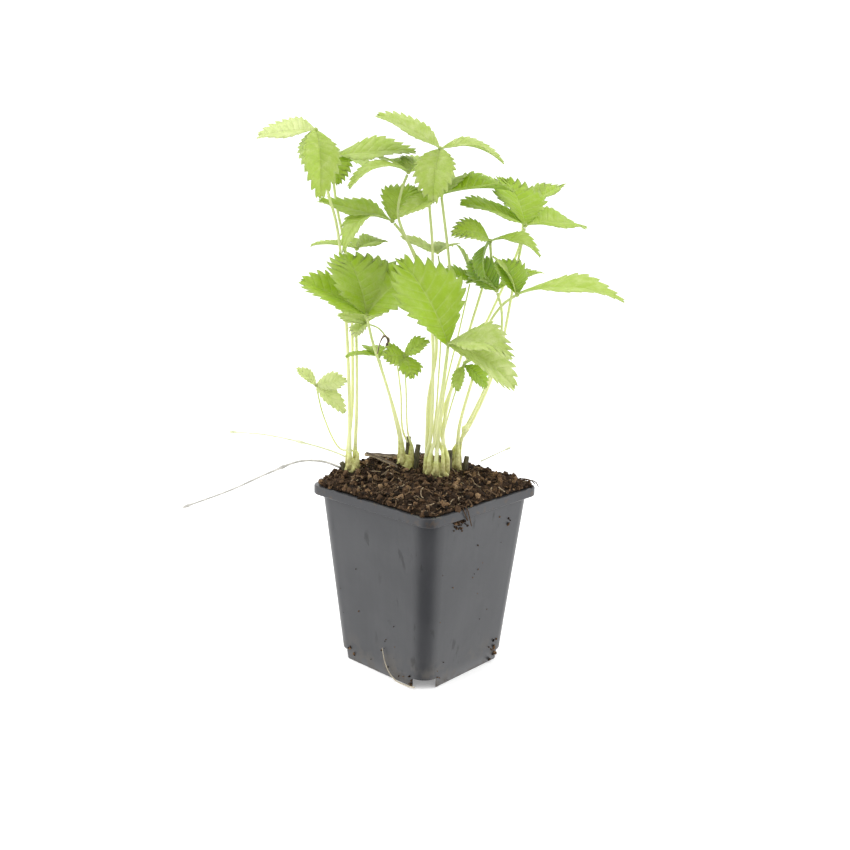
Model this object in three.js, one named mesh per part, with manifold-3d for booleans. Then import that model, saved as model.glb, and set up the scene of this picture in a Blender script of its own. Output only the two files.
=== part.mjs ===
// A potted wild strawberry: a square nursery pot filled with peat, four crowns with
// their roots, the three-part leaves on their stalks, and the runners.
// Millimetres, +Z up. The origin is the centre of the pot's foot on the table.
import * as THREE from "three";
import { mergeVertices } from "three/addons/utils/BufferGeometryUtils.js";
import Module from "manifold-3d";

const wasm = await Module();
wasm.setup();

// ---------------------------------------------------------------- driving dimensions

const pot = {
  height: 100,
  footHalf: 33.4, // half the width across the flats at the table
  topHalf: 43.1, // the same just under the top edge
  footCorner: 9.4, // corner radius at the table, growing with the taper
  wall: 1.2,
  lipHalf: 45,
  lipCorner: 7.8,
  lipHeight: 5,
  floorUnder: 3.5, // the floor is raised on the foot ring
  footRing: 2,
  notchWidth: 12, // a drain slot across each corner of the foot
  notchHeight: 5.5,
  notchInside: 37, // how near the slot's inner end comes to the pot's middle
  drainHole: 3.5,
  drainSpacing: 14,
};
const gap = 0.3; // left between pieces that touch
const soilEdge = 101; // height of the peat where it ends on the pot's rim
const plantTurn = THREE.MathUtils.degToRad(42.5); // the plant against the pot's flats
const stalkRadius = 0.8;
const youngStalkRadius = 0.5;
const bladeThickness = 0.6;
const knuckleRadius = 1.3; // the joint where the three leaflets meet
const youngKnuckleRadius = 1;
const baseHalfWidth = 0.7; // half the width of a leaflet where it leaves the joint
const tipWidthShare = 0.1; // half the width of a leaflet's tip against the leaflet's width

// The heap of peat above its edge, how far it spills out over the rim, and the mound
// behind the left crown.
const heap = { height: 5.5, half: 44 };
const spill = { half: 44, corner: 8 };
const mound = { x: -30, y: 12, height: 5, spread: 13 };
const lumps = { height: 0.5, fineHeight: 0.4, length: 4, fineLength: 2.9 };

// Each crown in the plant's frame: its middle in plan, its radius, and how far it stands
// above the peat.
const crowns = {
  main: { x: 6, y: -2, radius: 7.5, above: 4 },
  second: { x: -11, y: 8, radius: 5.5, above: 4 },
  left: { x: -40, y: 2, radius: 4.5, above: 4 },
  right: { x: 17, y: 9, radius: 3.6, above: 4 },
};
// A crown's outline from its underside to its top, as shares of its radius and heights
// from its top, and the roots below it.
const crownOutline = [
  [0, -20],
  [0.4, -17],
  [0.85, -9],
  [1, -3],
  [1, -1],
  [0.9, 0],
  [0, 0],
];
const mainRoots = { count: 3, radius: 0.8, length: 75, stagger: 6, inward: 0.25 };
const straightRise = 6; // how far a stalk rises straight up from its crown
const roundSides = 12; // sides of the crowns and the drain holes

// Each leaf in the plant's frame: the crown it grows from, the joint of its three
// leaflets, points its stalk passes on the way up, and its leaflets. A leaflet is its
// tip from the joint in x, y and z, its width, how far it is tilted round its midrib,
// its arch as a share of its length, and how far its halves fold up, in degrees.
const leaves = [
  {
    name: "top_left", crown: "left", at: [-60, 6, 286],
    via: [[-42, 5, 144], [-44, 6, 188], [-47, 3, 225], [-49, 0, 240], [-53, -2, 255], [-58, 2, 272]],
    leaflets: [
      [-30, 8, -3, 22, -32, 0.03, 18],
      [4, -18, -33, 19, -6, 0.16, 30],
      [-4, 17, -22, 15, 0, 0.1, 25],
    ],
  },
  {
    name: "upper_left", crown: "left", at: [-53, 14, 273],
    via: [[-41, 13, 143], [-43, 24, 198], [-47, 28, 228], [-51, 26, 248]],
    leaflets: [
      [43, -2, 4, 25, 25, 0.03, 14],
      [5, -10, -13, 18, 20, 0.1, 30],
      [16, 26, -4, 20, 0, 0.12, 20],
    ],
  },
  {
    name: "left_back", crown: "left", at: [-39, 12, 226],
    via: [[-38, 6, 145], [-39, 10, 193]],
    leaflets: [
      [-24, 4, 1, 16, -4, 0.06, 16],
      [14, 8, 4, 18, 14, 0.08, 16],
      [6, 18, 2, 16, 0, 0.1, 20],
    ],
  },
  {
    name: "daughter", crown: "left", at: [-60, 4, 153], young: true,
    via: [[-47, 5, 118], [-56, 5, 136]],
    leaflets: [
      [-10, 2, 9, 9, -20, 0.05, 15],
      [16, 2, 3, 11, 50, 0.06, 10],
      [16, -6, -13, 11, 20, 0.04, 15],
    ],
  },
  {
    name: "left_middle", crown: "main", at: [-20, 4, 241],
    via: [[1.8, 3, 126], [2.5, 4, 147], [2.5, 5.5, 176], [-1, 6, 203], [-8, 5.5, 224], [-15, 5, 235]],
    leaflets: [
      [-38, 8, 9, 24, -14, 0.02, 16],
      [9, 14, 18, 22, 20, 0.06, 24],
      [-24, -12, -14, 20, -6, 0.3, 16],
    ],
  },
  {
    name: "upper_middle", crown: "main", at: [-12, 0, 266],
    via: [[0.5, 0, 126], [0.8, 0.5, 147], [4.5, 0.5, 176], [0, 1, 205], [-9, 2, 225], [-17, 2, 244], [-15, 1, 258]],
    leaflets: [
      [-29, -12, -8, 16, -10, 0.2, 18],
      [12, 24, 6, 22, 10, 0.06, 20],
      [-14, 20, 6, 20, 0, 0.08, 20],
    ],
  },
  {
    name: "front_left", crown: "second", at: [-32, -14, 194],
    via: [[-14.5, 1, 130], [-22, -8, 158], [-29, -14, 181]],
    leaflets: [
      [-32, -2, 17, 26, -26, 0.03, 18],
      [-12, 14, 29, 36, -4, 0.1, 22],
      [23, 12, 22, 40, 26, 0.06, 14],
    ],
  },
  {
    name: "young_front", crown: "second", at: [-12, -20, 174], young: true,
    via: [[-10, -4, 131], [-11, -14, 155]],
    leaflets: [
      [-10, -4, 0, 13, -50, 0.1, 15],
      [12, -2, 8, 12, 40, 0.1, 15],
      [4, -6, -10, 13, 0, 0.08, 15],
    ],
  },
  {
    name: "young_left", crown: "second", at: [-26, 0, 170], young: true,
    via: [[-15, 9, 124], [-21, 5, 150]],
    leaflets: [
      [-17, -2, 0, 12, -2, 0.08, 20],
      [-6, 15, 3, 12, 0, 0.1, 20],
      [13, 3, 2, 10, 0, 0.1, 20],
    ],
  },
  {
    name: "low_left", crown: "second", at: [-33, 0, 188], young: true,
    via: [[-13, 11, 128], [-14.5, 11.5, 150], [-18.5, 11, 171], [-26, 6, 184]],
    leaflets: [
      [-14, -2, 4, 14, -30, 0.08, 20],
      [3, 13, 3, 14, 0, 0.1, 20],
      [-5, -6, -6, 12, 0, 0.1, 20],
    ],
  },
  {
    name: "front", crown: "main", at: [10, -30, 182],
    via: [[4.5, -6.2, 126], [6, -12, 142], [8, -20, 160]],
    leaflets: [
      [-24, 10, 40, 38, -30, 0.08, 22],
      [30, -12, -3, 28, 20, 0.14, 22],
      [33, -4, -20, 28, 20, 0.1, 22],
    ],
  },
  {
    name: "top", crown: "main", at: [4, 4, 278],
    via: [[2.2, -3, 126], [3, -2.5, 147], [2, -1, 201], [1, 0, 230], [-1, 3, 255], [1, 5, 267]],
    leaflets: [
      [-32, 6, 16, 22, -22, 0.04, 20],
      [32, 2, -6, 20, 17, 0.14, 22],
      [-3, -15, -26, 21, 0, 0.14, 25],
    ],
  },
  {
    name: "top_front", crown: "main", at: [5, -2, 255],
    via: [[6.5, -3.5, 126], [8, -3, 147], [12, 0, 201], [10, 0, 221], [7, -1, 242]],
    leaflets: [
      [36, 8, 3, 26, 14, 0.06, 30],
      [-20, -12, -11, 14, -20, 0.04, 20],
      [10, 28, 8, 20, 0, 0.12, 20],
    ],
  },
  {
    name: "inner_small", crown: "main", at: [4, 8, 225], young: true,
    via: [[4.3, 1, 126], [5.5, 1, 147], [7, 3, 201], [6, 5, 214]],
    leaflets: [
      [-19, 4, 8, 13, -14, 0, 12],
      [8, 16, 3, 14, 0, 0.1, 20],
      [-4, 18, 0, 14, 0, 0.1, 20],
    ],
  },
  {
    name: "inner_right", crown: "main", at: [22, 14, 210], young: true,
    via: [[8.5, 3, 126], [9, 4.5, 147], [17, 12, 185]],
    leaflets: [
      [-16, 2, 3, 18, -14, 0.1, 20],
      [-7, 8, 18, 13, 38, 0.06, 25],
      [2, 18, 3, 16, 0, 0.1, 20],
    ],
  },
  {
    name: "low_right", crown: "main", at: [19, -9, 168], young: true,
    via: [[8.8, -5, 126], [12, -6.5, 142]],
    leaflets: [
      [-3, -3, -13, 9, 0, 0.08, 25],
      [12, 0, -11, 12, 40, 0.12, 18],
      [8, -5, 4, 10, 0, 0.1, 20],
    ],
  },
  {
    name: "right_inner", crown: "main", at: [31, 0, 232],
    via: [[9.2, -0.5, 126], [11.5, 0, 147], [22, 9, 184], [29, 12, 209], [32, 8, 222]],
    leaflets: [
      [-19, -6, 4, 20, -30, 0.16, 16],
      [25, -6, -6, 18, 10, 0.16, 20],
      [-3, -13, -18, 14, 55, 0.1, 40],
    ],
  },
  {
    name: "right_back", crown: "main", at: [51, 42, 249],
    via: [[6.3, 5.5, 126], [11.5, 9, 147], [30, 26, 182], [45, 36, 215], [51, 42, 233]],
    leaflets: [
      [22, 8, 12, 24, 10, 0.02, 20],
      [-32, 0, 14, 22, -6, 0.1, 20],
      [7, 28, 8, 22, 0, 0.1, 20],
    ],
  },
  {
    name: "right_high", crown: "right", at: [50, 12, 240],
    via: [[23, 12, 129], [34, 11, 155], [40, 11, 177], [44, 13, 201], [47, 13, 221]],
    leaflets: [
      [-34, -8, 11, 20, -20, 0.05, 16],
      [34, 28, -1, 22, 24, 0.06, 20],
      [-9, 18, 23, 32, 6, 0.06, 18],
    ],
  },
  {
    name: "right_front", crown: "right", at: [44, -24, 207],
    via: [[18, 4, 132], [25, 1, 162], [31, -9, 189], [38, -20, 202]],
    leaflets: [
      [50, -14, 0, 25, 10, 0.1, 16],
      [-8, 8, 16, 19, -10, 0.08, 28],
      [-12, 2, 18, 16, 0, 0.04, 20],
    ],
  },
  {
    name: "right_low", crown: "right", at: [35, -4, 207],
    via: [[20, 7, 126], [31, 4, 153], [38, 0, 178], [38, -3, 197]],
    leaflets: [
      [-14, 4, 14, 17, -55, 0.14, 20],
      [-15, -2, 4, 16, 0, 0.1, 20],
      [24, 8, 9, 16, 6, 0.08, 20],
    ],
  },
];

// Thin round pieces: radius and the points they pass, in the plant's frame.
const strands = [
  {
    name: "runner_long", kind: "runner", radius: 0.7,
    points: [
      [-47, 6, 107], [-56, 8, 109.5], [-69, 6, 110],
      [-85, 4, 104], [-107, 1, 94], [-132.5, -2, 84.5],
    ],
  },
  {
    name: "runner_upper", kind: "runner", radius: 0.7,
    points: [[-43, 9, 112], [-53, 12, 115], [-70, 14, 119], [-90, 15, 122.5], [-109, 14, 124]],
  },
  {
    name: "runner_right", kind: "runner", radius: 0.5,
    points: [[31, 20, 108.5], [39, 22, 112], [48, 24, 116]],
  },
  {
    name: "dry_stalk_upper", kind: "dryStalk", radius: 1,
    points: [[-34, 22, 110.5], [-26, 16, 112], [-18, 9, 113]],
  },
  {
    name: "dry_stalk_lower", kind: "dryStalk", radius: 0.9,
    points: [[-33, 13, 113.5], [-25, 8, 112], [-15, -1, 110]],
  },
  { name: "dry_stalk_back", kind: "dryStalk", radius: 0.9, points: [[-31, 30, 108], [-16, 25, 109.5]] },
  {
    name: "curled_bract", kind: "dryStalk", radius: 0.6,
    points: [
      [-26.2, -14.2, 174], [-24.8, -14.8, 180], [-22.6, -15, 183.5],
      [-20.4, -15, 181.5], [-21, -15, 178.2], [-18.6, -15, 176.4],
    ],
  },
];

// A stray root that comes out of the drain slot towards +X and -Y and lies up the pot's
// side, in the pot's frame.
const strayRoot = {
  radius: 0.4,
  points: [
    [27.5, -34.8, 1.6], [24, -35, 1], [19, -34.8, 0.6], [13.5, -34.8, 0.7],
    [9, -35.2, 4], [6.4, -35.7, 9], [4.7, -36.3, 17],
  ],
};

// ---------------------------------------------------------------- materials

function finish(color, roughness) {
  return new THREE.MeshStandardMaterial({ color, roughness, metalness: 0 });
}
const materials = {
  pot: finish(0x626365, 0.5),
  peat: finish(0x362a21, 1),
  crown: finish(0x8d9650, 0.7),
  stalk: finish(0xdfe5af, 0.5),
  blade: finish(0x9cc43f, 0.55),
  runner: finish(0xb9b6ab, 0.6),
  dryStalk: finish(0x5b4632, 0.9),
  root: finish(0xcabf9f, 0.8),
};

// ---------------------------------------------------------------- solids

function toSolid(geometry) {
  geometry.deleteAttribute("normal");
  geometry.deleteAttribute("uv");
  const merged = mergeVertices(geometry, 1e-4);
  return new wasm.Manifold(
    new wasm.Mesh({
      numProp: 3,
      vertProperties: merged.attributes.position.array,
      triVerts: new Uint32Array(merged.index.array),
    }),
  );
}

function toGeometry(solid) {
  const { vertProperties, triVerts } = solid.getMesh();
  return new THREE.BufferGeometry()
    .setAttribute("position", new THREE.BufferAttribute(vertProperties, 3))
    .setIndex(new THREE.BufferAttribute(triVerts, 1));
}

function joined(solids) {
  return solids.reduce((all, one) => all.add(one));
}

function moveVertices(geometry, place) {
  const position = geometry.attributes.position;
  const v = new THREE.Vector3();
  for (let i = 0; i < position.count; i++) {
    place(v.fromBufferAttribute(position, i));
    position.setXYZ(i, v.x, v.y, v.z);
  }
  return geometry;
}

// A square outline with round corners, centred on the origin.
function roundedSquare(half, radius) {
  const inner = half - radius;
  const shape = new THREE.Shape();
  shape.absarc(inner, inner, radius, 0, Math.PI / 2);
  shape.absarc(-inner, inner, radius, Math.PI / 2, Math.PI);
  shape.absarc(-inner, -inner, radius, Math.PI, 1.5 * Math.PI);
  shape.absarc(inner, -inner, radius, 1.5 * Math.PI, 2 * Math.PI);
  shape.closePath();
  return shape;
}

// A square block with round corners that widens evenly from its foot to its top.
function taperedBlock(footHalf, topHalf, footCorner, from, to) {
  const depth = to - from;
  const geometry = new THREE.ExtrudeGeometry(roundedSquare(footHalf, footCorner), {
    depth,
    bevelEnabled: false,
    curveSegments: 6,
  });
  moveVertices(geometry, (v) => {
    const widen = 1 + (topHalf / footHalf - 1) * (v.z / depth);
    v.set(v.x * widen, v.y * widen, v.z + from);
  });
  return toSolid(geometry);
}

function wallHalfAt(z) {
  return pot.footHalf + (pot.topHalf - pot.footHalf) * (z / pot.height);
}

// The space inside the wall between two heights, drawn in by a clearance.
function insideWall(clearance, from, to) {
  const inset = pot.wall + clearance;
  const foot = wallHalfAt(from) - inset;
  return taperedBlock(foot, wallHalfAt(to) - inset, pot.footCorner, from, to);
}

// A round rod along a smooth curve through the points.
function rod(points, radius, sides = 6, spacing = 20) {
  const curve = new THREE.CatmullRomCurve3(points, false, "centripetal");
  const ring = new THREE.Shape();
  for (let k = 0; k < sides; k++) {
    const angle = (2 * Math.PI * k) / sides;
    const [x, y] = [radius * Math.cos(angle), radius * Math.sin(angle)];
    if (k) ring.lineTo(x, y);
    else ring.moveTo(x, y);
  }
  ring.closePath();
  return new THREE.ExtrudeGeometry(ring, {
    extrudePath: curve,
    steps: Math.max(3, Math.round(curve.getLength() / spacing)),
    curveSegments: 1,
  });
}

const point = ([x, y, z]) => new THREE.Vector3(x, y, z);

// ---------------------------------------------------------------- pot

function makePot() {
  const lipBase = pot.height - pot.lipHeight;
  const overlap = 1;
  const wall = taperedBlock(pot.footHalf, pot.topHalf, pot.footCorner, 0, pot.height);
  const lip = taperedBlock(pot.lipHalf, pot.lipHalf, pot.lipCorner, lipBase, pot.height).subtract(
    taperedBlock(
      pot.lipHalf - pot.wall,
      pot.lipHalf - pot.wall,
      pot.lipCorner - pot.wall,
      lipBase - overlap,
      pot.height - pot.wall,
    ),
  );
  const floorTop = pot.floorUnder + pot.wall;
  const inside = insideWall(0, floorTop, pot.height + overlap);
  const recessHalf = pot.footHalf - pot.footRing;
  const recess = taperedBlock(
    recessHalf,
    recessHalf,
    pot.footCorner - pot.footRing,
    -overlap,
    pot.floorUnder,
  );
  const cuts = [inside, recess];
  for (let corner = 0; corner < 4; corner++) {
    const reach = pot.footHalf;
    const slot = new THREE.BoxGeometry(reach, pot.notchWidth, pot.notchHeight + overlap);
    slot.translate(pot.notchInside + reach / 2, 0, (pot.notchHeight - overlap) / 2);
    slot.rotateZ(Math.PI / 4 + (corner * Math.PI) / 2);
    cuts.push(toSolid(slot));
    const depth = pot.wall + 2 * overlap;
    const hole = new THREE.CylinderGeometry(pot.drainHole, pot.drainHole, depth, roundSides);
    hole.rotateX(Math.PI / 2);
    hole.translate(pot.drainSpacing, 0, pot.floorUnder + pot.wall / 2);
    hole.rotateZ((corner * Math.PI) / 2);
    cuts.push(toSolid(hole));
  }
  return wall.add(lip).subtract(joined(cuts));
}

// ---------------------------------------------------------------- peat

// Height of the peat: just over the rim along its edge, heaped in the middle and
// higher still behind the left crown. x and y are in the pot's frame.
function peatHeight(x, y) {
  const edge = Math.min(Math.hypot(x ** 3, y ** 3) ** (1 / 3) / heap.half, 1);
  const c = Math.cos(plantTurn);
  const s = Math.sin(plantTurn);
  const fromMound = Math.hypot(x * c + y * s - mound.x, y * c - x * s - mound.y) / mound.spread;
  const coarse = lumps.height * Math.sin(x / lumps.length) * Math.cos(y / lumps.length);
  const fine = lumps.fineHeight * Math.sin((x + y) / lumps.fineLength);
  return (
    soilEdge +
    heap.height * (1 - edge ** 3) +
    mound.height * Math.exp(-(fromMound ** 2) / 2) +
    (coarse + fine) * (1 - edge)
  );
}

function peatHeightInPlant(x, y) {
  const c = Math.cos(plantTurn);
  const s = Math.sin(plantTurn);
  return peatHeight(x * c - y * s, x * s + y * c);
}

function crownTop(crown) {
  return peatHeightInPlant(crown.x, crown.y) + crown.above;
}

// A crown with its main roots. Growing it all round by a clearance gives the hole it sits in.
function makeCrown(crown, clearance) {
  const { x, y, radius } = crown;
  const top = crownTop(crown);
  const underside = crownOutline[0][1];
  const profile = crownOutline.map(([share, z]) => {
    const grown = z + clearance * (1 - (2 * z) / underside);
    return new THREE.Vector2(share * (radius + clearance), grown);
  });
  const body = new THREE.LatheGeometry(profile, roundSides);
  body.rotateX(Math.PI / 2);
  body.translate(x, y, top);
  const parts = [toSolid(body)];
  for (let k = 0; k < mainRoots.count; k++) {
    const angle = (2 * Math.PI * k) / mainRoots.count + radius;
    const length = mainRoots.length + mainRoots.stagger * k;
    // A root's place some way out from the crown's middle and some way down.
    const place = (out, down) => {
      const inward = 1 - mainRoots.inward * out;
      return point([
        x * inward + Math.cos(angle) * radius * out,
        y * inward + Math.sin(angle) * radius * out,
        top - down,
      ]);
    };
    const route = [
      place(0.2, -0.75 * underside),
      place(0.7, length / 2),
      place(0.8, length + clearance),
    ];
    parts.push(toSolid(rod(route, mainRoots.radius + clearance, 5)));
  }
  return joined(parts);
}

function makePeat() {
  const floor = pot.floorUnder + pot.wall + gap;
  const width = 2 * pot.lipHalf;
  const cells = 15;
  const block = new THREE.BoxGeometry(width, width, 1, cells, cells, 1);
  moveVertices(block, (v) => {
    v.z = v.z > 0 ? peatHeight(v.x, v.y) : 0;
  });
  const holes = Object.values(crowns).map((crown) => {
    const hole = toGeometry(makeCrown(crown, 1.2 * gap));
    return toSolid(hole.rotateZ(plantTurn));
  });
  const above = soilEdge + heap.height + mound.height + lumps.height + lumps.fineHeight;
  const spilt = taperedBlock(spill.half, spill.half, spill.corner, pot.height + gap, above);
  const body = insideWall(gap, floor, above).add(spilt);
  return body.intersect(toSolid(block)).subtract(joined(holes));
}

// ---------------------------------------------------------------- leaves

// Half the width of a leaflet along its length, as a share of the widest.
function outline(s) {
  return 1.13 * Math.sin(Math.PI * s ** 0.98) ** 0.6 * Math.sqrt(0.5 + 0.5 * s);
}

// One leaflet: a thin slab bowed along its midrib and folded up on both sides of it.
function makeLeaflet(joint, [dx, dy, dz, width, tilt, arch, fold], young) {
  const along = new THREE.Vector3(dx, dy, dz);
  const length = along.length();
  along.normalize();
  const flat = new THREE.Vector3(0, 0, 1).addScaledVector(along, -along.z).normalize();
  flat.applyAxisAngle(along, THREE.MathUtils.degToRad(tilt));
  const side = new THREE.Vector3().crossVectors(along, flat);
  const foldAngle = THREE.MathUtils.degToRad(fold);
  const slab = new THREE.BoxGeometry(2, 1, 1, 2, young ? 4 : 6, 1);
  moveVertices(slab, (v) => {
    const [t, s, layer] = [v.x, v.y + 0.5, v.z];
    const shape = outline(Math.min(Math.max(s, 0), 1)) || 0;
    const half = Math.max((width / 2) * shape, s < 0.5 ? baseHalfWidth : tipWidthShare * width);
    const rise = foldAngle * (1 - 0.35 * Math.abs(t));
    v.copy(joint)
      .addScaledVector(along, length * s + 0.12 * half * Math.abs(t) * (1 - s))
      .addScaledVector(flat, arch * length * 4 * s * (1 - s))
      .addScaledVector(side, half * t * Math.cos(rise))
      .addScaledVector(flat, half * Math.abs(t) * Math.sin(rise) + bladeThickness * layer);
  });
  return toSolid(slab);
}

function makeBlade(leaf) {
  const joint = point(leaf.at);
  const radius = leaf.young ? youngKnuckleRadius : knuckleRadius;
  const knuckle = new THREE.IcosahedronGeometry(radius, 0);
  knuckle.translate(...leaf.at);
  return joined([
    toSolid(knuckle),
    ...leaf.leaflets.map((leaflet) => makeLeaflet(joint, leaflet, leaf.young)),
  ]);
}

// Where a leaf's stalk stands on its crown: evenly round a ring, in the order of the
// ways the stalks lean, so that no two cross.
function stalkBase(leaf) {
  const crown = crowns[leaf.crown];
  const lean = (one) => Math.atan2(one.via[0][1] - crown.y, one.via[0][0] - crown.x);
  const family = leaves.filter((other) => other.crown === leaf.crown);
  family.sort((a, b) => lean(a) - lean(b));
  const angle = lean(family[0]) + (2 * Math.PI * family.indexOf(leaf)) / family.length;
  const r = crown.radius - 2 * stalkRadius;
  return point([crown.x + r * Math.cos(angle), crown.y + r * Math.sin(angle), crownTop(crown) + gap]);
}

function makeStalk(leaf) {
  const base = stalkBase(leaf);
  const above = base.clone().add(new THREE.Vector3(0, 0, straightRise));
  const joint = point(leaf.at);
  const last = point(leaf.via[leaf.via.length - 1]);
  const short = knuckleRadius + gap;
  const end = joint.clone().addScaledVector(joint.clone().sub(last).normalize(), -short);
  const radius = leaf.young ? youngStalkRadius : stalkRadius;
  return rod([base, above, ...leaf.via.map(point), end], radius);
}

// ---------------------------------------------------------------- assembly

const strawberry = new THREE.Group();

function add(group, name, geometry, material) {
  const mesh = new THREE.Mesh(geometry, materials[material]);
  mesh.name = name;
  group.add(mesh);
}

add(strawberry, "pot", toGeometry(makePot()), "pot");
add(strawberry, "peat", toGeometry(makePeat()), "peat");

const plant = new THREE.Group();
plant.rotation.z = plantTurn;
strawberry.add(plant);
for (const [name, crown] of Object.entries(crowns))
  add(plant, `crown_${name}`, toGeometry(makeCrown(crown, 0)), "crown");
for (const leaf of leaves) {
  add(plant, `stalk_${leaf.name}`, makeStalk(leaf), "stalk");
  add(plant, `blade_${leaf.name}`, toGeometry(makeBlade(leaf)), "blade");
}
for (const { name, kind, radius, points } of strands)
  add(plant, name, rod(points.map(point), radius, 6, 8), kind);
add(strawberry, "stray_root", rod(strayRoot.points.map(point), strayRoot.radius, 5, 3), "root");

export default strawberry;
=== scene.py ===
import math
import random

import bmesh
import bpy
import numpy as np
from mathutils import Matrix, Quaternion, Vector, noise


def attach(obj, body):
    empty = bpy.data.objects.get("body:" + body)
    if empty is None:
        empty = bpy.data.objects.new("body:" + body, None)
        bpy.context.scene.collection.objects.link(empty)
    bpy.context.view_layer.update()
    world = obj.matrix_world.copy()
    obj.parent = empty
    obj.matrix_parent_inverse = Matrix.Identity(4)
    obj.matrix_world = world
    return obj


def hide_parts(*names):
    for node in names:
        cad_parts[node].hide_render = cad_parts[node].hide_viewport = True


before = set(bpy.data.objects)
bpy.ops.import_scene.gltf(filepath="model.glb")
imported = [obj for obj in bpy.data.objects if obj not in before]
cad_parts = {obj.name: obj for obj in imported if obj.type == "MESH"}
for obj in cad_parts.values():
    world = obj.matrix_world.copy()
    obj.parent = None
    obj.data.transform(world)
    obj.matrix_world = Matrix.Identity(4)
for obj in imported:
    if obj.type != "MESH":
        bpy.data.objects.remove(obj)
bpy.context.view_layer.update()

# ------------------------------------------------------------------------------ the pot
# A square nursery pot, blow-moulded from thin black polypropylene: tapered walls with
# large corner radii, a rim turned down all round, a floor raised on a foot ring with a
# drain slot through each corner and four round drain holes.

MM = 0.001
POT_HEIGHT = 100 * MM
FOOT_HALF = 33.4 * MM
TOP_HALF = 43.1 * MM
FOOT_CORNER = 9.4 * MM
WALL = 1.2 * MM
RIM_HALF = 45 * MM
RIM_CORNER = 7.8 * MM
RIM_HEIGHT = 5 * MM
FLOOR_UNDER = 3.5 * MM
FOOT_RING = 2 * MM
SLOT_WIDTH = 12 * MM
SLOT_HEIGHT = 5.5 * MM
SLOT_INNER_END = 37 * MM
DRAIN_HOLE = 3.5 * MM
DRAIN_SPACING = 14 * MM
CORNER_STEPS = 14
SIDE_STEPS = 6
OUTER_HEIGHTS = [height * MM for height in (8, 20, 34, 48, 62, 76, 88, 94, 98.3)]
INNER_HEIGHTS = [height * MM for height in (80, 60, 40, 20, 8)]


class Value:
    """A number that varies over a surface, so that shader maths reads as plain maths."""

    def __init__(self, finish, socket):
        self.finish = finish
        self.socket = socket

    def maths(self, operation, *numbers):
        return self.finish.node("Math", {"operation": operation}, dict(enumerate(numbers)))

    def __add__(self, other):
        return self.maths("ADD", self, other)

    def __mul__(self, other):
        return self.maths("MULTIPLY", self, other)

    def __sub__(self, other):
        return self.maths("SUBTRACT", self, other)

    def __rsub__(self, other):
        return self.maths("SUBTRACT", other, self)

    def __pow__(self, other):
        return self.maths("POWER", self, other)

    __radd__ = __add__
    __rmul__ = __mul__

    def between(self, low, high):
        """0 up to low and 1 from high on, with a soft step between them."""
        return self.finish.node(
            "MapRange",
            {"interpolation_type": "SMOOTHSTEP"},
            {"Value": self, "From Min": low, "From Max": high, "To Min": 0.0, "To Max": 1.0},
        )


class Finish:
    """A material under construction. node() adds any node and gives back one of its outputs."""

    def __init__(self, name):
        self.material = bpy.data.materials.new(name)
        self.material.use_nodes = True
        self.tree = self.material.node_tree
        self.tree.nodes.clear()

    def node(self, kind, settings=None, values=None, output=0):
        made = self.tree.nodes.new("ShaderNode" + kind)
        for setting, value in (settings or {}).items():
            if setting == "stops":
                ramp = made.color_ramp.elements
                while len(ramp) < len(value):
                    ramp.new(0.5)
                for stop, (place, color) in zip(ramp, value):
                    stop.position = place
                    stop.color = (*color, 1.0)
            else:
                setattr(made, setting, value)
        for name, value in (values or {}).items():
            socket = made.inputs[name]
            if isinstance(value, Value):
                self.tree.links.new(value.socket, socket)
            elif socket.type == "RGBA":
                socket.default_value = (*value, 1.0)
            else:
                socket.default_value = value
        return Value(self, made.outputs[output]) if made.outputs else None

    def place(self):
        return self.node("TexCoord", output="Object")

    def axis(self, letter):
        return self.node("SeparateXYZ", None, {0: self.place()}, letter)

    def noise(self, scale, detail=3.0, vector=None, roughness=0.5):
        values = {"Scale": scale, "Detail": detail, "Roughness": roughness}
        values["Vector"] = self.place() if vector is None else vector
        return self.node("TexNoise", None, values, "Fac")

    def streaks(self, across, upward, detail):
        """A grain whose scale round the piece and whose scale up it differ."""
        scale = {0: self.place(), 1: (across, across, upward)}
        return self.noise(1.0, detail, self.node("VectorMath", {"operation": "MULTIPLY"}, scale))

    def attribute(self, name):
        return self.node("Attribute", {"attribute_name": name}, None, "Fac")

    def mixed(self, share, first, second):
        """A colour that goes from first to second as share goes from 0 to 1."""
        settings = {"data_type": "RGBA", "clamp_factor": True}
        return self.node("Mix", settings, {0: share, 6: first, 7: second}, 2)

    def bump(self, height, strength, distance, under=None):
        values = {"Height": height, "Strength": strength, "Distance": distance}
        if under is not None:
            values["Normal"] = under
        return self.node("Bump", None, values)

    def solid(self, color, roughness, relief, gloss=0.5):
        """The plain shader of a solid surface."""
        return self.node("BsdfPrincipled", None, {
            "Base Color": color, "Roughness": roughness, "Normal": relief,
            "Specular IOR Level": gloss,
        })

    def done(self, shader):
        self.node("OutputMaterial", None, {"Surface": shader})
        return self.material


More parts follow.
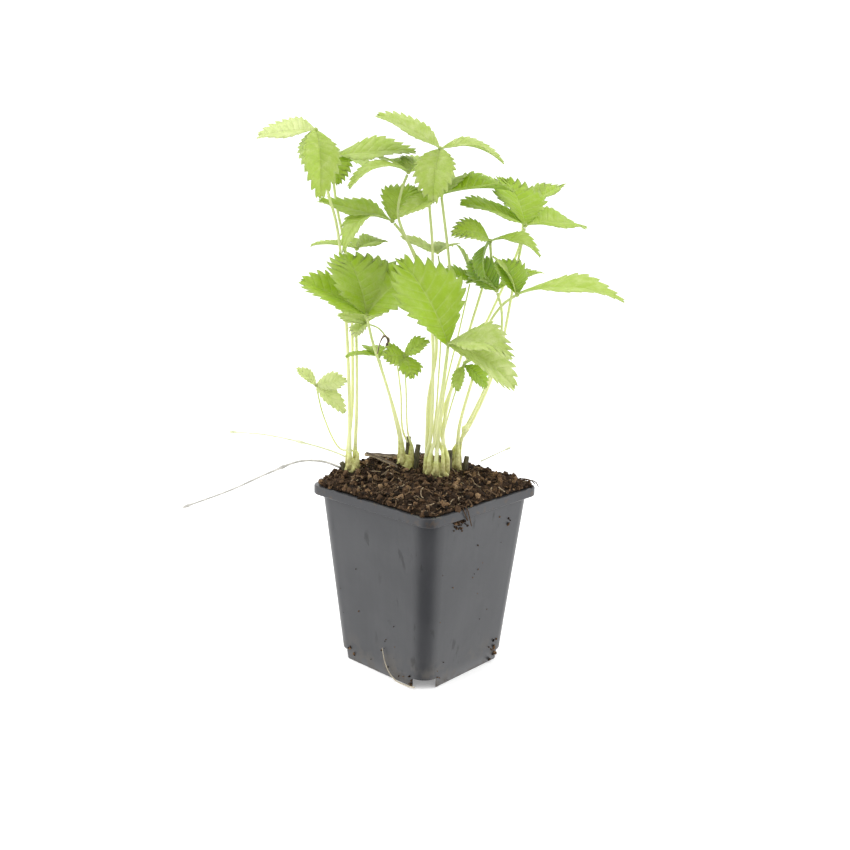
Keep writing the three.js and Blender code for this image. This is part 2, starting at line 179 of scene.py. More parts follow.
def black_plastic():
    """Dull black polypropylene: greyed by handling, with faint water marks, rubs and dust."""
    finish = Finish("black_plastic")
    height = finish.axis("Z")
    clouds = finish.noise(28.0, 4.0)
    marks = finish.streaks(190.0, 75.0, 5.0)
    streaks = finish.streaks(420.0, 9.0, 3.0)
    rubbed = (clouds * 0.8 + streaks * 0.2).between(0.38, 0.66)
    color = finish.mixed(rubbed, (0.036, 0.037, 0.041), (0.046, 0.047, 0.051))
    spots = marks.between(0.6, 0.7) * clouds.between(0.45, 0.6)
    color = finish.mixed(spots * 0.75, color, (0.016, 0.016, 0.018))
    low = 1 - height.between(0.0, 0.022)
    dust = low * finish.noise(160.0, 6.0).between(0.42, 0.66)
    color = finish.mixed(dust * 0.35, color, (0.19, 0.165, 0.13))
    rim = height.between(0.0944, 0.0955)
    soiled = rim * finish.noise(300.0, 4.0).between(0.52, 0.7)
    color = finish.mixed(soiled * 0.6, color, (0.07, 0.05, 0.035))
    rough = 0.27 + clouds * 0.12 + dust * 0.3 + spots * 0.1
    grain = finish.bump(finish.noise(2600.0, 2.0), 0.12, 0.0001)
    dents = finish.bump(finish.noise(42.0, 2.0), 0.32, 0.0012, grain)
    return finish.done(finish.solid(color, rough, dents))


def rounded_square(half, radius, height):
    """A ring of points round a square with round corners."""
    diagonal = (half - radius) * math.sqrt(2)

    def on_corner(corner, step):
        middle = (corner + 0.5) * math.pi / 2
        angle = (corner + step / CORNER_STEPS) * math.pi / 2
        x = diagonal * math.cos(middle) + radius * math.cos(angle)
        y = diagonal * math.sin(middle) + radius * math.sin(angle)
        return x, y, height

    ring = []
    for corner in range(4):
        ring += [on_corner(corner, step) for step in range(CORNER_STEPS + 1)]
        start, end = ring[-1], on_corner(corner + 1, 0)
        for step in range(1, SIDE_STEPS):
            ring.append(tuple(a + (b - a) * step / SIDE_STEPS for a, b in zip(start, end)))
    return ring


def closed_rings(rings):
    """Vertices and faces of a closed body whose skin runs over the rings from end to end."""
    count = len(rings[0])
    vertices = [point for ring in rings for point in ring]
    faces = []
    for row in range(len(rings) - 1):
        for k in range(count):
            after = (k + 1) % count
            a, b = row * count + k, row * count + after
            faces.append((a, b, b + count, a + count))
    for ring, first, flip in ((rings[0], 0, True), (rings[-1], (len(rings) - 1) * count, False)):
        middle = len(vertices)
        vertices.append(tuple(np.mean(np.array(ring), axis=0)))
        for k in range(count):
            a, b = first + k, first + (k + 1) % count
            faces.append((b, a, middle) if flip else (a, b, middle))
    return vertices, faces


def add_piece(name, vertices, faces, *materials, smooth=True, **attributes):
    """A new mesh object, with a number for each vertex under each attribute's name."""
    mesh = bpy.data.meshes.new(name)
    mesh.from_pydata(np.asarray(vertices, float).tolist(), [], faces)
    for material in materials:
        mesh.materials.append(material)
    if smooth:
        mesh.shade_smooth()
    for attribute, values in attributes.items():
        layer = mesh.attributes.new(attribute, "FLOAT", "POINT")
        layer.data.foreach_set("value", np.asarray(values, np.float32))
    piece = bpy.data.objects.new(name, mesh)
    bpy.context.collection.objects.link(piece)
    return piece


def wall_half(height):
    return FOOT_HALF + (TOP_HALF - FOOT_HALF) * height / POT_HEIGHT


def wall_corner(height):
    return FOOT_CORNER * wall_half(height) / FOOT_HALF


def pot_rings():
    """The pot's section, from the middle of its underside round the rim to its inner floor."""
    recess = FOOT_HALF - FOOT_RING
    recess_corner = FOOT_CORNER - FOOT_RING
    edge = 0.35 * MM
    rim_foot = POT_HEIGHT - RIM_HEIGHT
    rim_under = POT_HEIGHT - WALL
    skirt = RIM_HALF - WALL
    skirt_corner = RIM_CORNER - WALL
    floor_top = FLOOR_UNDER + WALL
    section = [
        (4 * MM, 2 * MM, FLOOR_UNDER),
        (recess - edge, recess_corner, FLOOR_UNDER),
        (recess, recess_corner, FLOOR_UNDER - edge),
        (recess, recess_corner, edge),
        (recess + edge, recess_corner + edge, 0.0),
        (FOOT_HALF - edge, FOOT_CORNER - edge, 0.0),
        (FOOT_HALF, FOOT_CORNER, edge),
    ]
    for height in OUTER_HEIGHTS:
        section.append((wall_half(height), wall_corner(height), height))
    section += [
        (wall_half(rim_under) + edge, wall_corner(rim_under), rim_under),
        (skirt - edge / 2, skirt_corner, rim_under),
        (skirt, skirt_corner, rim_under - edge),
        (skirt, skirt_corner, rim_foot + edge),
        (skirt + edge, skirt_corner + edge, rim_foot),
        (RIM_HALF - edge, RIM_CORNER - edge, rim_foot),
        (RIM_HALF, RIM_CORNER, rim_foot + edge),
        (RIM_HALF, RIM_CORNER, POT_HEIGHT - 2 * edge),
        (RIM_HALF - 0.6 * edge, RIM_CORNER, POT_HEIGHT - 0.6 * edge),
        (RIM_HALF - 2 * edge, RIM_CORNER, POT_HEIGHT),
        (TOP_HALF - WALL + 2 * edge, wall_corner(POT_HEIGHT), POT_HEIGHT),
        (TOP_HALF - WALL, wall_corner(POT_HEIGHT), POT_HEIGHT - 2 * edge),
    ]
    for height in INNER_HEIGHTS:
        section.append((wall_half(height) - WALL, wall_corner(height) - WALL, height))
    section += [
        (wall_half(floor_top) - WALL - 2 * edge, FOOT_CORNER - WALL, floor_top + 2 * edge),
        (wall_half(floor_top) - WALL - 5 * edge, FOOT_CORNER - WALL, floor_top),
        (4 * MM, 2 * MM, floor_top),
    ]
    return [rounded_square(half, corner, height) for half, corner, height in section]


def cut_away(piece, cutter):
    """Takes the cutter's shape out of the piece for good."""
    cut = piece.modifiers.new("cut", "BOOLEAN")
    cut.object = cutter
    cut.solver = "EXACT"
    shown = piece.evaluated_get(bpy.context.evaluated_depsgraph_get())
    result = bpy.data.meshes.new_from_object(shown)
    piece.modifiers.clear()
    piece.data = result
    bpy.data.objects.remove(cutter)


def drain_cutter():
    """The four corner slots and four round holes, as one mesh to cut with."""
    shape = bmesh.new()
    for corner in range(4):
        angle = math.pi / 4 + corner * math.pi / 2
        for vertex in bmesh.ops.create_cube(shape, size=1.0)["verts"]:
            along = SLOT_INNER_END + (vertex.co.x + 0.5) * FOOT_HALF
            across = vertex.co.y * SLOT_WIDTH
            x = along * math.cos(angle) - across * math.sin(angle)
            y = along * math.sin(angle) + across * math.cos(angle)
            vertex.co = (x, y, SLOT_HEIGHT if vertex.co.z > 0 else -SLOT_HEIGHT)
        hole = bmesh.ops.create_cone(
            shape, cap_ends=True, segments=32, radius1=DRAIN_HOLE, radius2=DRAIN_HOLE,
            depth=5 * WALL,
        )["verts"]
        angle = corner * math.pi / 2
        middle = Vector((math.cos(angle), math.sin(angle), 0)) * DRAIN_SPACING
        bmesh.ops.translate(shape, verts=hole, vec=middle + Vector((0, 0, FLOOR_UNDER)))
    mesh = bpy.data.meshes.new("drains")
    shape.to_mesh(mesh)
    shape.free()
    cutter = bpy.data.objects.new("drains", mesh)
    bpy.context.collection.objects.link(cutter)
    return cutter


pot = add_piece("nursery_pot", *closed_rings(pot_rings()), black_plastic())
cut_away(pot, drain_cutter())
pot.data.shade_smooth()
creases = pot.modifiers.new("creases", "EDGE_SPLIT")
creases.split_angle = math.radians(40)
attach(pot, "root")
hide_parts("pot")

# ----------------------------------------------------------------------------- the peat
# Coarse potting peat, heaped round the crowns and spilt out over the rim. Its top is
# broken up into lumps, with loose crumbs of peat and bark and short pale fibres on it.

PLANT_TURN = math.radians(42.5)
PEAT_EDGE = 101 * MM
# The heap and the mound in it round the left crown, in millimetres.
HEAP_HEIGHT = 5.5
HEAP_HALF = 44
MOUND = (-30, 12)
MOUND_HEIGHT = 5
MOUND_SPREAD = 13
# The peat's mesh, and the edge of its spilt top.
PEAT_ROUND = 200
PEAT_RINGS = 110
PEAT_HALF = 44.2 * MM
PEAT_CORNER = 8 * MM
PEAT_CLEARANCE = 0.4 * MM
PEAT_FLOOR = 5 * MM
PEAT_LIFT = 0.2 * MM
RAGGEDNESS = 0.014
# The heap's lumps, from coarse to fine: their scale, where they are cut from the noise and
# their height in millimetres.
LUMPS = ((95, 0.0, 1.7), (260, 0.3, 1.7), (640, 0.7, 0.9))
# The depth scale of the painted shade in the heap's hollows.
HOLLOW_SHADE_DEPTH = 4 * MM
DAMP_GLOSS = 0.15
# Crumbs all over the heap, more along its edge, and fibres: their number, then the crumbs'
# smallest size and how much larger they get, and the fibres' lengths and radii, in
# millimetres.
CRUMB_COUNT = 1900
CRUMB_SIZE = (0.5, 1.8)
EDGE_CRUMB_COUNT = 260
EDGE_CRUMB_SIZE = (0.5, 0.9)
FIBRE_COUNT = 640
FIBRE_LENGTH = (2.0, 7.5)
FIBRE_RADIUS = (0.12, 0.42)
FIBRE_STEP = 0.9 * MM


def from_plant(x, y, z):
    """A place in the plant's own frame, in millimetres, as a point of the pot's, in metres."""
    c, s = math.cos(PLANT_TURN), math.sin(PLANT_TURN)
    return Vector(((x * c - y * s) * MM, (x * s + y * c) * MM, z * MM))


def peat_height(x, y):
    """The heap's height without its lumps, for a place in metres."""
    x, y = x / MM, y / MM
    edge = min((abs(x) ** 6 + abs(y) ** 6) ** (1 / 6) / HEAP_HALF, 1.0)
    c, s = math.cos(PLANT_TURN), math.sin(PLANT_TURN)
    away = math.hypot(x * c + y * s - MOUND[0], y * c - x * s - MOUND[1]) / MOUND_SPREAD
    heap = HEAP_HEIGHT * (1 - edge**3) + MOUND_HEIGHT * math.exp(-(away**2) / 2)
    return PEAT_EDGE + heap * MM


def peat_top(x, y):
    """The heap's height with its lumps."""
    lumps = (rise * noise.noise(Vector((x, y, cut)) * scale) for scale, cut, rise in LUMPS)
    return peat_height(x, y) + sum(lumps) * MM


def edge_distance(angle, half, corner):
    """How far the edge of a square with round corners is from its middle, in one direction."""
    c, s = abs(math.cos(angle)), abs(math.sin(angle))
    flat = half / max(c, s)
    inner = half - corner
    if min(c, s) * flat <= inner:
        return flat
    along = inner * (c + s)
    return along + math.sqrt(max(along**2 - 2 * inner**2 + corner**2, 0))


def peat_body():
    """The heap, from the pot's inner floor up the walls and out over the rim to its top."""
    angles = [2 * math.pi * k / PEAT_ROUND for k in range(PEAT_ROUND)]

    def ring(height, half, corner, top=False, ragged=0.0):
        row = []
        for angle in angles:
            c, s = math.cos(angle), math.sin(angle)
            bite = ragged * (1 + noise.noise(Vector((9 * c, 9 * s, 0.0))))
            distance = edge_distance(angle, half, corner) * (1 - bite)
            x, y = distance * c, distance * s
            row.append((x, y, peat_top(x, y) if top else height))
        return row

    rings = []
    room = WALL + PEAT_CLEARANCE
    spill = POT_HEIGHT + PEAT_LIFT
    for height in (PEAT_FLOOR, 30 * MM, 60 * MM, 90 * MM, spill):
        rings.append(ring(height, wall_half(height) - room, wall_corner(height) - room))
    rings.append(ring(spill, PEAT_HALF - PEAT_CLEARANCE, PEAT_CORNER, ragged=RAGGEDNESS))
    for step in range(PEAT_RINGS, 0, -1):
        share = (step / PEAT_RINGS) ** 0.8
        ragged = RAGGEDNESS * min(1.0, 20 * max(0.0, share - 0.95))
        rings.append(ring(0, PEAT_HALF * share, PEAT_CORNER * share, True, ragged))
    return closed_rings(rings)


def peat_finish():
    """Damp brown peat with redder and greyer crumbs between, darkened to near black in the hollows
    by painted shade.
    """
    finish = Finish("potting_peat")
    grains = finish.noise(420.0, 5.0, roughness=0.7)
    patches = finish.noise(130.0, 4.0)
    hollow = finish.attribute("hollow")
    color = finish.node(
        "ValToRGB",
        {"stops": [
            (0.3, (0.006, 0.004, 0.002)),
            (0.46, (0.03, 0.017, 0.009)),
            (0.57, (0.08, 0.047, 0.026)),
            (0.7, (0.16, 0.1, 0.058)),
        ]},
        {"Fac": grains * 0.65 + patches * 0.35},
        "Color",
    )
    # Painted shade: the peat turns near black where its top lies deep in a hollow.
    color = finish.mixed(hollow.between(0.3, 0.75) * 0.85, color, (0.006, 0.004, 0.002))
    relief = finish.bump(finish.noise(900.0, 4.0) + grains, 0.8, 0.0006)
    return finish.done(finish.solid(color, 0.92, relief, DAMP_GLOSS))


def crumb_finish(name, stops):
    """Loose bits whose colour differs from one to the next."""
    finish = Finish(name)
    kind = finish.attribute("tint")
    color = finish.node("ValToRGB", {"stops": stops}, {"Fac": kind}, "Color")
    mottle = finish.noise(1500.0, 3.0)
    color = finish.mixed(mottle.between(0.35, 0.7) * 0.6, color, (0.014, 0.008, 0.004))
    relief = finish.bump(mottle, 0.7, 0.0004)
    return finish.done(finish.solid(color, 0.88, relief, DAMP_GLOSS))


def ball(subdivisions):
    """A ball of radius 1 for lumps to be made from: its vertices and faces."""
    shape = bmesh.new()
    bmesh.ops.create_icosphere(shape, subdivisions=subdivisions, radius=1.0)
    vertices = np.array([vertex.co[:] for vertex in shape.verts])
    faces = [tuple(vertex.index for vertex in face.verts) for face in shape.faces]
    shape.free()
    return vertices, faces


def crumbs(places, sizes, tints, seed):
    """Irregular flattened crumbs, one at each place."""
    dice = np.random.default_rng(seed)
    whole, whole_faces = ball(1)
    vertices, faces, tint = [], [], []
    for place, size, shade in zip(places, sizes, tints):
        turn, _ = np.linalg.qr(dice.normal(size=(3, 3)))
        knocked = whole * (1 + 0.28 * dice.normal(size=(len(whole), 1)))
        squashed = knocked * np.array([1.0, dice.uniform(0.5, 0.95), dice.uniform(0.35, 0.8)])
        faces.append(np.array(whole_faces) + len(whole) * len(vertices))
        vertices.append(squashed @ turn * size + np.array(place))
        tint.append(np.full(len(whole), shade))
    return np.concatenate(vertices), np.concatenate(faces).tolist(), np.concatenate(tint)


def smooth_route(points, spacing):
    """Points along the smooth curve through the given ones, about a spacing apart."""
    p = np.array([list(point) for point in points], float)
    p = np.vstack([2 * p[0] - p[1], p, 2 * p[-1] - p[-2]])
    fine = []
    for k in range(1, len(p) - 2):
        knots = [0.0]
        for j in range(3):
            knots.append(knots[-1] + max(np.linalg.norm(p[k + j] - p[k + j - 1]) ** 0.5, 1e-4))
        for t in np.linspace(knots[1], knots[2], 24, endpoint=False):
            blend = p[k - 1 : k + 3]
            for spans in (((0, 1), (1, 2), (2, 3)), ((0, 2), (1, 3)), ((1, 2),)):
                blend = [
                    ((knots[b] - t) * blend[n] + (t - knots[a]) * blend[n + 1])
                    / (knots[b] - knots[a])
                    for n, (a, b) in enumerate(spans)
                ]
            fine.append(blend[0])
    fine = np.array([*fine, p[-2]])
    gone = np.concatenate([[0], np.cumsum(np.linalg.norm(np.diff(fine, axis=0), axis=1))])
    wanted = np.linspace(0, gone[-1], max(3, int(gone[-1] / spacing) + 1))
    return np.column_stack([np.interp(wanted, gone, fine[:, axis]) for axis in range(3)])


def tube(route, radii, sides=8, ridges=0.0):
    """A closed stem along a route: its vertices, faces and each vertex's share of the length."""
    route = np.asarray(route, float)
    ahead = np.gradient(route, axis=0)
    ahead /= np.linalg.norm(ahead, axis=1)[:, None]
    across = np.cross(ahead[0], [0.31, 0.87, 0.38])
    rings = []
    for place, direction, radius in zip(route, ahead, radii):
        across = across - direction * (across @ direction)
        across /= np.linalg.norm(across)
        up = np.cross(direction, across)
        ring = []
        for k in range(sides):
            angle = 2 * math.pi * k / sides
            out = radius * (1 + ridges * (k % 2))
            ring.append(place + out * (math.cos(angle) * across + math.sin(angle) * up))
        rings.append(ring)
    vertices, faces = closed_rings(rings)
    share = np.repeat(np.linspace(0, 1, len(route)), sides)
    return np.array(vertices), faces, np.concatenate([share, [0.0, 1.0]])


def gathered(parts):
    """Several meshes with one number for each vertex, as one."""
    vertices, faces, numbers, count = [], [], [], 0
    for part_vertices, part_faces, part_numbers in parts:
        faces += [tuple(index + count for index in face) for face in part_faces]
        vertices.append(np.asarray(part_vertices, float))
        numbers.append(np.asarray(part_numbers, float))
        count += len(part_vertices)
    return np.concatenate(vertices), faces, np.concatenate(numbers)


def fibre(points, radius, shade):
    """A short thin fibre through the points, all of one shade."""
    route = smooth_route(points, FIBRE_STEP)
    made, faces, _ = tube(route, [radius] * len(route), 5)
    return made, faces, np.full(len(made), shade)


made, faces = peat_body()
# Each vertex's depth below the smooth heap, as a mask for painted shade in the hollows.
hollow_shading = [0.5 - (z - peat_height(x, y)) / HOLLOW_SHADE_DEPTH for x, y, z in made]
peat = add_piece("peat_heap", made, faces, peat_finish(), hollow=hollow_shading)
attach(peat, "root")
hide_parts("peat")

dice = random.Random(7)
crumb_places, crumb_sizes, crumb_tints = [], [], []
for index in range(CRUMB_COUNT + EDGE_CRUMB_COUNT):
    on_edge = index >= CRUMB_COUNT
    angle = dice.uniform(0, 2 * math.pi)
    share = dice.uniform(0.955, 1.0) if on_edge else math.sqrt(dice.random())
    reach = edge_distance(angle, PEAT_HALF - PEAT_CLEARANCE, PEAT_CORNER) * share
    x, y = reach * math.cos(angle), reach * math.sin(angle)
    smallest, spread = EDGE_CRUMB_SIZE if on_edge else CRUMB_SIZE
    size = (smallest + spread * dice.random() ** 2.2) * MM
    lift = 0.1 * size if on_edge else 0.3 * size
    crumb_places.append((x, y, peat_top(x, y) + lift))
    crumb_sizes.append(size)
    crumb_tints.append(dice.random())
BARK_COLORS = [
    (0.0, (0.008, 0.005, 0.003)),
    (0.35, (0.036, 0.02, 0.011)),
    (0.65, (0.11, 0.064, 0.033)),
    (0.9, (0.24, 0.145, 0.076)),
    (1.0, (0.34, 0.23, 0.13)),
]
bark = crumb_finish("peat_and_bark", BARK_COLORS)
made, faces, tint = crumbs(crumb_places, crumb_sizes, crumb_tints, 3)
loose_crumbs = add_piece("peat_crumbs", made, faces, bark, smooth=False, tint=tint)
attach(loose_crumbs, "root")

fibres = []
for _ in range(FIBRE_COUNT):
    angle = dice.uniform(0, 2 * math.pi)
    reach = edge_distance(angle, PEAT_HALF - 1.5 * MM, PEAT_CORNER) * math.sqrt(dice.random())
    x, y = reach * math.cos(angle), reach * math.sin(angle)
    heading = dice.uniform(0, 2 * math.pi)
    length = dice.uniform(*FIBRE_LENGTH) * MM
    bow = dice.uniform(-0.5, 0.5)
    points = []
    for step in range(4):
        along = (step / 3 - 0.5) * length
        turn = heading + bow * (step / 3 - 0.5) * 2
        px, py = x + along * math.cos(turn), y + along * math.sin(turn)
        room = edge_distance(math.atan2(py, px), PEAT_HALF, PEAT_CORNER) / math.hypot(px, py)
        px, py = px * min(room, 1), py * min(room, 1)
        points.append((px, py, peat_top(px, py) + dice.uniform(0.3, 1.3) * MM))
    fibres.append(fibre(points, dice.uniform(*FIBRE_RADIUS) * MM, dice.random() ** 1.6))
# Fibres that hang over the rim, by their points in the pot's frame in millimetres.
DRAPED_FIBRES = [
    [(36, 37, 103), (40, 41, 103), (43, 43, 102), (44.6, 43.6, 99.5)],
    [(34, 40, 103), (39, 43, 102.4), (42, 44, 100.6)],
    [(42, -22, 102.6), (45, -18, 101), (45.9, -16, 95), (44.8, -13, 90)],
    [(43, -19, 102), (45.6, -20, 99), (45.4, -17, 94)],
]
for points in DRAPED_FIBRES:
    fibres.append(fibre([Vector(place) * MM for place in points], 0.3 * MM, 0.3))
made, faces, tint = gathered(fibres)
STRAW_COLORS = [
    (0.0, (0.03, 0.018, 0.01)),
    (0.4, (0.1, 0.062, 0.036)),
    (0.75, (0.22, 0.145, 0.085)),
    (1.0, (0.42, 0.33, 0.22)),
]
straw = crumb_finish("peat_fibre", STRAW_COLORS)
peat_fibres = add_piece("peat_fibres", made, faces, straw, tint=tint)
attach(peat_fibres, "root")

# --------------------------------------------------------- crumbs stuck to the pot's sides
# Damp peat spilt in potting: a few crumbs under the rim, specks down the walls and grit
# round the foot, each dried on to the plastic.

# Each smear: the face it is on (x for the +X face, y for the -Y face), the place along
# the face and the height of its middle, its spread, and how many crumbs it has.
SMEARS = [
    ("x", -22, 93, 2.4, 26),
    ("x", -17, 91, 2.0, 20),
    ("x", 22, 84, 1.2, 3),
    ("x", 0, 80, 9, 4),
    ("x", -10, 62, 14, 5),
    ("x", -2, 40, 16, 4),
    ("x", 20, 11, 2.6, 5),
    ("x", 21, 5, 2.2, 9),
    ("x", -20, 5, 7, 8),
    ("y", -21, 6, 2.2, 6),
    ("y", -2, 34, 20, 6),
    ("y", 10, 5, 9, 8),
    ("y", 22, 3, 3, 7),
]


def on_wall(face, along, height, out=0.0):
    """A point on one of the pot's two front walls, in millimetres."""
    half = wall_half(height * MM) / MM + out
    return (half, along, height) if face == "x" else (along, -half, height)


smear_places, smear_sizes, smear_tints = [], [], []
for face, along, height, spread, count in SMEARS:
    for _ in range(count):
        a, h = dice.gauss(along, spread), dice.gauss(height, spread)
        h = min(max(h, 1.5), 94)
        limit = (wall_half(h * MM) - wall_corner(h * MM)) / MM
        a = min(max(a, -limit), limit)
        size = dice.uniform(0.25, 0.6) if spread > 5 else dice.uniform(0.4, 1.15)
        smear_places.append([part * MM for part in on_wall(face, a, h, 0.3 * size)])
        smear_sizes.append(size * MM)
        smear_tints.append(dice.random() * 0.85)
made, faces, tint = crumbs(smear_places, smear_sizes, smear_tints, 5)
stuck_crumbs = add_piece("stuck_crumbs", made, faces, bark, smooth=False, tint=tint)
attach(stuck_crumbs, "root")

# ---------------------------------------------------------------------------- the crowns
# Where the leaf stalks rise: short thick stems at the surface of the peat, wrapped in the
# papery sheaths of this year's stalks and the dark stubs of old ones.

# Each crown in the plant's frame, in millimetres: its middle in plan and its radius.
CROWNS = {
    "main": (6, -2, 7.5),
    "second": (-11, 8, 5.5),
    "left": (-40, 2, 4.5),
    "right": (17, 9, 3.6),
}
CROWN_ABOVE = 4
CROWN_RISE = 6.6 * MM
SHEATH_FLARE = 0.8
SHEATH_LIP = 0.12
SHEATH_HEIGHT = (9, 17)
SHEATH_FOOT = 3.5 * MM
STUB_RADII = (1.7, 1.3)
STRAIGHT_RISE = 6
ROUTE_STEP = 1.6 * MM
STALK_RADIUS = 0.8
YOUNG_STALK_RADIUS = 0.5
JOINT_RADIUS = 1.3
YOUNG_JOINT_RADIUS = 1.0
TOUCH_GAP = 0.3

# Each leaf in the plant's frame, in millimetres: its name, its crown, whether it is young,
# its tone from 0, deep green, to 1, pale, the joint of its leaflets, the points that its
# stalk passes, and its leaflets. A leaflet is its tip from the joint in x, y and z, its
# width, its tilt round the midrib in degrees, its arch as a share of its length, and how
# far its halves fold up in degrees.
LEAVES = [
    ("top_left", "left", False, 0.45, (-60, 6, 286),
     [(-42, 5, 144), (-44, 6, 188), (-47, 3, 225), (-49, 0, 240), (-53, -2, 255), (-58, 2, 272)],
     [(-30, 8, -3, 22, -32, 0.03, 18), (4, -18, -33, 19, -6, 0.16, 30),
      (-4, 17, -22, 15, 0, 0.1, 25)]),
    ("upper_left", "left", False, 0.5, (-53, 14, 273),
     [(-41, 13, 143), (-43, 24, 198), (-47, 28, 228), (-51, 26, 248)],
     [(43, -2, 4, 25, 25, 0.03, 14), (5, -10, -13, 18, 20, 0.1, 30),
      (16, 26, -4, 20, 0, 0.12, 20)]),
    ("left_back", "left", False, 0.5, (-39, 12, 226),
     [(-38, 6, 145), (-39, 10, 193)],
     [(-24, 4, 1, 16, -4, 0.06, 16), (14, 8, 4, 18, 14, 0.08, 16), (6, 18, 2, 16, 0, 0.1, 20)]),
    ("daughter", "left", True, 0.95, (-60, 4, 153),
     [(-47, 5, 118), (-56, 5, 136)],
     [(-10, 2, 9, 9, -20, 0.05, 15), (16, 2, 3, 11, 50, 0.06, 10),
      (16, -6, -13, 11, 20, 0.04, 15)]),
    ("left_middle", "main", False, 0.45, (-20, 4, 241),
     [(1.8, 3, 126), (2.5, 4, 147), (2.5, 5.5, 176), (-1, 6, 203), (-8, 5.5, 224), (-15, 5, 235)],
     [(-38, 8, 9, 24, -14, 0.02, 16), (9, 14, 18, 22, 20, 0.06, 24),
      (-24, -12, -14, 20, -6, 0.3, 16)]),
    ("upper_middle", "main", False, 0.5, (-12, 0, 266),
     [(0.5, 0, 126), (0.8, 0.5, 147), (4.5, 0.5, 176), (0, 1, 205),
      (-9, 2, 225), (-17, 2, 244), (-15, 1, 258)],
     [(-29, -12, -8, 16, -10, 0.2, 18), (12, 24, 6, 22, 10, 0.06, 20),
      (-14, 20, 6, 20, 0, 0.08, 20)]),
    ("front_left", "second", False, 0.26, (-32, -14, 194),
     [(-14.5, 1, 130), (-22, -8, 158), (-29, -14, 181)],
     [(-32, -2, 17, 26, -26, 0.03, 18), (-12, 14, 29, 36, -4, 0.1, 22),
      (23, 12, 22, 40, 26, 0.06, 14)]),
    ("young_front", "second", True, 0.3, (-12, -20, 174),
     [(-10, -4, 131), (-11, -14, 155)],
     [(-10, -4, 0, 13, -50, 0.1, 15), (12, -2, 8, 12, 40, 0.1, 15),
      (4, -6, -10, 13, 0, 0.08, 15)]),
    ("young_left", "second", True, 0.35, (-26, 0, 170),
     [(-15, 9, 124), (-21, 5, 150)],
     [(-17, -2, 0, 12, -2, 0.08, 20), (-6, 15, 3, 12, 0, 0.1, 20), (13, 3, 2, 10, 0, 0.1, 20)]),
    ("low_left", "second", True, 0.8, (-33, 0, 188),
     [(-13, 11, 128), (-14.5, 11.5, 150), (-18.5, 11, 171), (-26, 6, 184)],
     [(-14, -2, 4, 14, -30, 0.08, 20), (3, 13, 3, 14, 0, 0.1, 20), (-5, -6, -6, 12, 0, 0.1, 20)]),
    ("front", "main", False, 0.32, (10, -30, 182),
     [(4.5, -6.2, 126), (6, -12, 142), (8, -20, 160)],
     [(-24, 10, 40, 38, -30, 0.08, 22), (30, -12, -3, 28, 20, 0.14, 22),
      (33, -4, -20, 28, 20, 0.1, 22)]),
    ("top", "main", False, 0.6, (4, 4, 278),
     [(2.2, -3, 126), (3, -2.5, 147), (2, -1, 201), (1, 0, 230), (-1, 3, 255), (1, 5, 267)],
     [(-32, 6, 16, 22, -22, 0.04, 20), (32, 2, -6, 20, 17, 0.14, 22),
      (-3, -15, -26, 21, 0, 0.14, 25)]),
    ("top_front", "main", False, 0.55, (5, -2, 255),
     [(6.5, -3.5, 126), (8, -3, 147), (12, 0, 201), (10, 0, 221), (7, -1, 242)],
     [(36, 8, 3, 26, 14, 0.06, 30), (-20, -12, -11, 14, -20, 0.04, 20),
      (10, 28, 8, 20, 0, 0.12, 20)]),
    ("inner_small", "main", True, 0.8, (4, 8, 225),
     [(4.3, 1, 126), (5.5, 1, 147), (7, 3, 201), (6, 5, 214)],
     [(-19, 4, 8, 13, -14, 0, 12), (8, 16, 3, 14, 0, 0.1, 20), (-4, 18, 0, 14, 0, 0.1, 20)]),
    ("inner_right", "main", True, 0.5, (22, 14, 210),
     [(8.5, 3, 126), (9, 4.5, 147), (17, 12, 185)],
     [(-16, 2, 3, 18, -14, 0.1, 20), (-7, 8, 18, 13, 38, 0.06, 25), (2, 18, 3, 16, 0, 0.1, 20)]),
    ("low_right", "main", True, 0.45, (19, -9, 168),
     [(8.8, -5, 126), (12, -6.5, 142)],
     [(-3, -3, -13, 9, 0, 0.08, 25), (12, 0, -11, 12, 40, 0.12, 18), (8, -5, 4, 10, 0, 0.1, 20)]),
    ("right_inner", "main", False, 0.35, (31, 0, 232),
     [(9.2, -0.5, 126), (11.5, 0, 147), (22, 9, 184), (29, 12, 209), (32, 8, 222)],
     [(-19, -6, 4, 20, -30, 0.16, 16), (25, -6, -6, 18, 10, 0.16, 20),
      (-3, -13, -18, 14, 55, 0.1, 40)]),
    ("right_back", "main", False, 0.35, (51, 42, 249),
     [(6.3, 5.5, 126), (11.5, 9, 147), (30, 26, 182), (45, 36, 215), (51, 42, 233)],
     [(22, 8, 12, 24, 10, 0.02, 20), (-32, 0, 14, 22, -6, 0.1, 20), (7, 28, 8, 22, 0, 0.1, 20)]),
    ("right_high", "right", False, 0.35, (50, 12, 240),
     [(23, 12, 129), (34, 11, 155), (40, 11, 177), (44, 13, 201), (47, 13, 221)],
     [(-34, -8, 11, 20, -20, 0.05, 16), (34, 28, -1, 22, 24, 0.06, 20),
      (-9, 18, 23, 32, 6, 0.06, 18)]),
    ("right_front", "right", False, 0.5, (44, -24, 207),
     [(18, 4, 132), (25, 1, 162), (31, -9, 189), (38, -20, 202)],
     [(50, -14, 0, 25, 10, 0.1, 16), (-8, 8, 16, 19, -10, 0.08, 28),
      (-12, 2, 18, 16, 0, 0.04, 20)]),
    ("right_low", "right", False, 0.4, (35, -4, 207),
     [(20, 7, 126), (31, 4, 153), (38, 0, 178), (38, -3, 197)],
     [(-14, 4, 14, 17, -55, 0.14, 20), (-15, -2, 4, 16, 0, 0.1, 20), (24, 8, 9, 16, 6, 0.08, 20)]),
]
